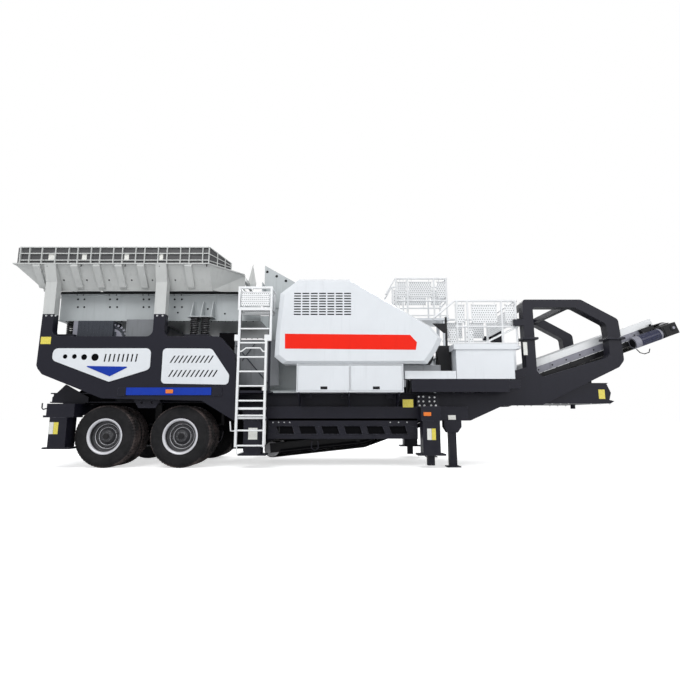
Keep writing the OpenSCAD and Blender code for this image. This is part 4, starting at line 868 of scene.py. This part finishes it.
def add_conveyor():
    """The near side of the conveyor's head: its plates, and its motor and reducer."""
    band, lips, dark = Shape(), Shape(), Shape()
    low, high, face = -2900, -240, -601
    inclined_box(band, (low, face - 15, 46), (high, face, 166))
    inclined_box(lips, (low, face - 19, 34), (high, face, 45))
    inclined_box(lips, (low, face - 5, 168), (high, face + 5, 296))
    inclined_box(dark, (low, face - 13, -62), (high, face, 33))
    for u in range(-2700, -370, 290):
        dark.bolt(inclined(u, face - 15, 106), NEAR, 11, 10)
        dark.rod(inclined(u + 60, face - 21, 10), inclined(u + 60, face - 1, 10), 34, 16)
    inclined_box(dark, (-560, -700, 95), (-300, face, 172))
    dark.rod(inclined(-330, -660, 150), inclined(-330, -660, 205), 22, 12)
    for name, shape, paint in (("conveyor_band", band, "band"), ("conveyor_lips", lips, "rail"),
                               ("conveyor_parts", dark, "black")):
        shape.make(name, paint, bevel=2)
    gear, body, pale, lead = Shape(), Shape(), Shape(), Shape()
    # The motor's axis, along the conveyor
    y, w = -725, -28
    inclined_box(gear, (-285, -840, -125), (15, face, 95))
    gear.rod(inclined(-60, -852, 0), inclined(-60, -838, 0), 62, 28)
    inclined_box(gear, (-250, -850, -105), (-150, -838, 70))
    body.rod(inclined(-730, y, w), inclined(-320, y, w), 104, 32)
    for k in range(20):
        t = 2 * math.pi * k / 20
        rib_y, rib_w = y + 106 * math.cos(t), w + 106 * math.sin(t)
        body.rod(inclined(-725, rib_y, rib_w), inclined(-325, rib_y, rib_w), 5, 6)
    pale.rod(inclined(-845, y, w), inclined(-728, y, w), 112, 32)
    pale.rod(inclined(-322, y, w), inclined(-286, y, w), 112, 32)
    pale.rod(inclined(-60, -854, 0), inclined(-60, -852, 0), 26, 20)
    gear.rod(inclined(-850, y, w), inclined(-846, y, w), 84, 24)
    lead.tube([(5623, -800, 2142), (5684, -805, 2074), (5766, -808, 2051), (5854, -805, 2082),
               (5878, -800, 2150)], 9, 10)
    for name, shape, paint in (("conveyor_reducer", gear, "black"),
                               ("conveyor_motor", body, "motor"),
                               ("conveyor_cowl", pale, "band")):
        piece = shape.make(name, paint, bevel=3, smooth=40)
        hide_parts("conveyor_drive")
    lead.make("conveyor_cable", "black", smooth=60)


def add_board_rails():
    """Rails and ribs on the tapered corner boards of the hopper."""
    rails = Shape()
    near, far = Vector((-2360, -1466, 0)), Vector((-2054, -1068, 0))
    foot, head, taper, bar_r = 3615, 3915, 172, 9
    for z0, z1 in ((3660, 3660), (3787, 3700), (3912, 3742)):
        rails.rod(near + Vector((0, 0, z0)), far + Vector((0, 0, z1)), bar_r, 8)
    for part in (0.35, 0.7, 0.98):
        place = near.lerp(far, part)
        rails.rod(place + Vector((0, 0, foot)), place + Vector((0, 0, head - taper * part)),
                  bar_r, 8)
    rails.mirror()
    rails.make("corner_rails", "hopper")


def add_trim():
    """The guard's stripe, marker lamps, the ladder's grips, tie hooks and clamp plates."""
    stripe = Shape()
    stripe.prism([(-966, 2058), (-971, 2323), (1235, 2303), (1353, 2170), (1329, 2037)],
                 GUARD_FACE - 3, GUARD_FACE)
    stripe.make("red_stripe", "red")
    lamps = Shape()
    lamps.box((-3021, -1434, 1280), (-2893, -1420, 1344))
    lamps.box((1450, JACK_FACE - 12, 892), (1580, JACK_FACE, 957))
    lamps.make("marker_lamps", "amber", bevel=4)
    grips = Shape()
    grips.tube([(-1760, -1425, 2013), (-1729, -1425, 2013), (-1655, -1425, 2073),
                (-1401, -1425, 2073), (-1357, -1425, 2013), (-1320, -1425, 2013)], 13, 12)
    grips.tube([(-1800, -1425, 640), (-1868, -1430, 640), (-1884, -1430, 800)], 12, 10)
    grips.tube([(-1760, -1425, 380), (-1748, -1430, 252), (-1640, -1430, 300)], 12, 10)
    grips.make("ladder_grips", "rail", smooth=50)
    hooks = Shape()
    hooks.tube([(-500, -1050, 450), (-510, -1060, 330), (-447, -1062, 283), (-384, -1060, 330),
                (-394, -1050, 450)], 9, 10)
    hooks.tube([(-5186, -1345, 1115), (-5186, -1345, 1030), (-5161, -1345, 1005),
                (-5110, -1345, 1020)], 11, 10)
    hooks.make("sill_trim", "navy", smooth=50)
    clamps = Shape()
    for x0, x1 in ((-649, -515), (18, 170), (852, 997)):
        clamps.box((x0, -972, 1204), (x1, -960, 1306))
        for x in (x0 + 28, x1 - 28):
            clamps.bolt((x, -972, 1256), NEAR, 12, 12)
    clamps.box((1119, -1064, 1035), (1333, -1052, 1198))
    clamps.mirror()
    clamps.make("rail_clamps", "navy", bevel=2)


def add_patches():
    """Bare patches where the photograph has films and plates, with nothing on them."""
    yellow, pale = Shape(), Shape()
    # The face that a patch lies on, its two ends and its foot and head
    for face, x0, x1, z0, z1 in ((FRAME_FACE, -5297, -5118, 2147, 2276),
                                 (-1064, 1131, 1321, 1045, 1188),
                                 (JACK_FACE, -4948, -4869, 584, 786),
                                 (-850, 4800, 4916, 1204, 1377),
                                 (JACK_FACE, 1582, 1652, 486, 678)):
        yellow.box((x0, face - 2, z0), (x1, face, z1))
    for face, x0, x1, z0, z1 in ((JACK_FACE, -5027, -4952, 584, 786),
                                 (JACK_FACE, 1503, 1578, 486, 678),
                                 (JACK_FACE, -1581, -1424, 493, 690),
                                 (SILL_FACE, 1943, 2079, 826, 906),
                                 (-960, 3414, 3488, 2009, 2252)):
        pale.box((x0, face - 2, z0), (x1, face, z1))
    for x0, x1 in ((-5278, -5150), (-4671, -4588), (-3905, -3824), (-3270, -3204)):
        pale.box((x0, -1462, 3672), (x1, -1458, 3788))
    yellow.make("yellow_patches", "yellow")
    pale.make("pale_patches", "sticker")


def add_bolts():
    """Bolt heads: bright ones on the dark frames, dark ones on the pale plates."""
    bright, dark = Shape(), Shape()
    # Feet of the hopper's posts
    for x in (-5248, -5148, -5078, -3266, -3167):
        bright.bolt((x, FRAME_FACE, 2660), NEAR, 12, 12)
    # Beam over the middle jack, sills, and under the gooseneck
    for x, z in ((1423, 1236), (1507, 1236), (1616, 1224), (1708, 1224), (1420, 1152),
                 (1505, 1152), (1614, 1152), (1706, 1152)):
        bright.bolt((x, SILL_FACE, z), NEAR, 11, 12)
    for x in (1435, 1522, 1643, 1727):
        bright.bolt((x, SILL_FACE - 2, 1076), NEAR, 13, 10)
    for x in (-1200, -1100, -1000, -900, 900, 1050, 1200):
        bright.bolt((x, SILL_FACE, 780), NEAR, 8, 9)
    for x in (3781, 3928, 4084, 4231, 4646, 4819, 4993):
        bright.bolt((x, -840, 1120), DOWN, 11, 16)
    for x, z in ((5166, 2331), (5246, 2343)):
        bright.bolt((x, -961, z), NEAR, 10, 12)
    # Feeder's side and bottom edge
    for x in (-4971, -4850, -4364, -4228, -3728, -3622, -3137, -3001):
        dark.bolt((x, FEEDER_FACE, 3076), NEAR, 13, 12)
        dark.bolt((x + 10, FEEDER_FACE, 2925), NEAR, 13, 12)
        dark.bolt((x, FEEDER_FACE - 40, 3150), NEAR, 8, 8)
    for x, z in ((-3063, 2818), (-2500, 2889), (-2173, 2797)):
        dark.bolt((x, FEEDER_FACE, z), NEAR, 12, 12)
    for x in range(-5141, -1600, 130):
        dark.bolt((x, FEEDER_FACE - 22, 2650), DOWN, 10, 14)
    # Hopper's wall, the boards' foot, and the chute's wings
    for x in (-5062, -4640, -4233, -3819, -3440, -3020):
        dark.bolt((x, -1293, 3350), (0, -0.83, -0.56), 10, 10)
    for x in (-5270, -4664, -3869, -3250, -2400):
        dark.rod((x, -1480, 3545), (x, -1480, 3590), 9, 10)
    for x, z in ((-1432, 3693), (-1245, 3602), (-1063, 3509)):
        dark.rod((x, -718, z), (x, -714, z), 26, 20)
    bright.mirror()
    dark.mirror()
    bright.make("bright_bolts", "steel")
    dark.make("dark_bolts", "black")


def add_latches():
    """A dark grip on each cabinet door, which swings with it."""
    for body, x in (("cabinet_door_rear", -280), ("cabinet_door_front", 632)):
        grip = Shape()
        grip.box((x - 60, FRAME_FACE - 4, 1350), (x + 60, FRAME_FACE, 1400))
        grip.rod((x - 40, FRAME_FACE - 8, 1375), (x + 40, FRAME_FACE - 8, 1375), 8, 10)
        grip.make("latch_" + body, "black", body, bevel=1.5)


def add_floor():
    """A plain pale floor, white to the camera but for the plant's own soft shadow."""
    mesh = bpy.data.meshes.new("floor")
    size = 60
    mesh.from_pydata([(-size, -size, 0), (size, -size, 0), (size, size, 0), (-size, size, 0)],
                     [], [(0, 1, 2, 3)])
    floor = bpy.data.objects.new("floor", mesh)
    bpy.context.scene.collection.objects.link(floor)
    m = Material("floor_paper")
    m.put(m.shader.inputs["Base Color"], m.mix(m.span(m.noise(0.4, 3), 0.3, 0.7),
                                               (0.8, 0.8, 0.8), (0.84, 0.84, 0.84)))
    m.put(m.shader.inputs["Roughness"], m.span(m.noise(2, 2), 0.3, 0.7, 0.85, 0.95))
    glow = m.node("Emission", Color=(1, 1, 1, 1))
    rays = m.node("LightPath")
    m.put(glow.inputs["Strength"], m.math("MULTIPLY", rays.outputs["Is Camera Ray"], 0.6))
    both = m.node("AddShader")
    m.put(both.inputs[0], m.shader.outputs[0])
    m.put(both.inputs[1], glow.outputs[0])
    m.put(m.tree.nodes["Material Output"].inputs["Surface"], both.outputs[0])
    mesh.materials.append(m.made)


add_camera()
add_world()
add_lamp("key", place=(-5, -11, 13), target=(0, 0, 1.5), size=9, power=1250)
add_lamp("fill", place=(9, -12, 6), target=(0, 0, 1.5), size=9, power=420)
add_lamp("back", place=(2, 10, 9), target=(0, 0, 2), size=7, power=800)
add_floor()
paint_nodes()
for axle_name in WHEEL_X:
    for end_name in ("near", "far"):
        add_wheel(axle_name, end_name)
add_springs()
add_rails()
add_landing()
add_shade_plates_and_panels()
add_sills()
add_feeder_drive()
add_conveyor()
add_board_rails()
add_trim()
add_patches()
add_bolts()
add_latches()

bpy.context.scene.view_settings.view_transform = "Standard"
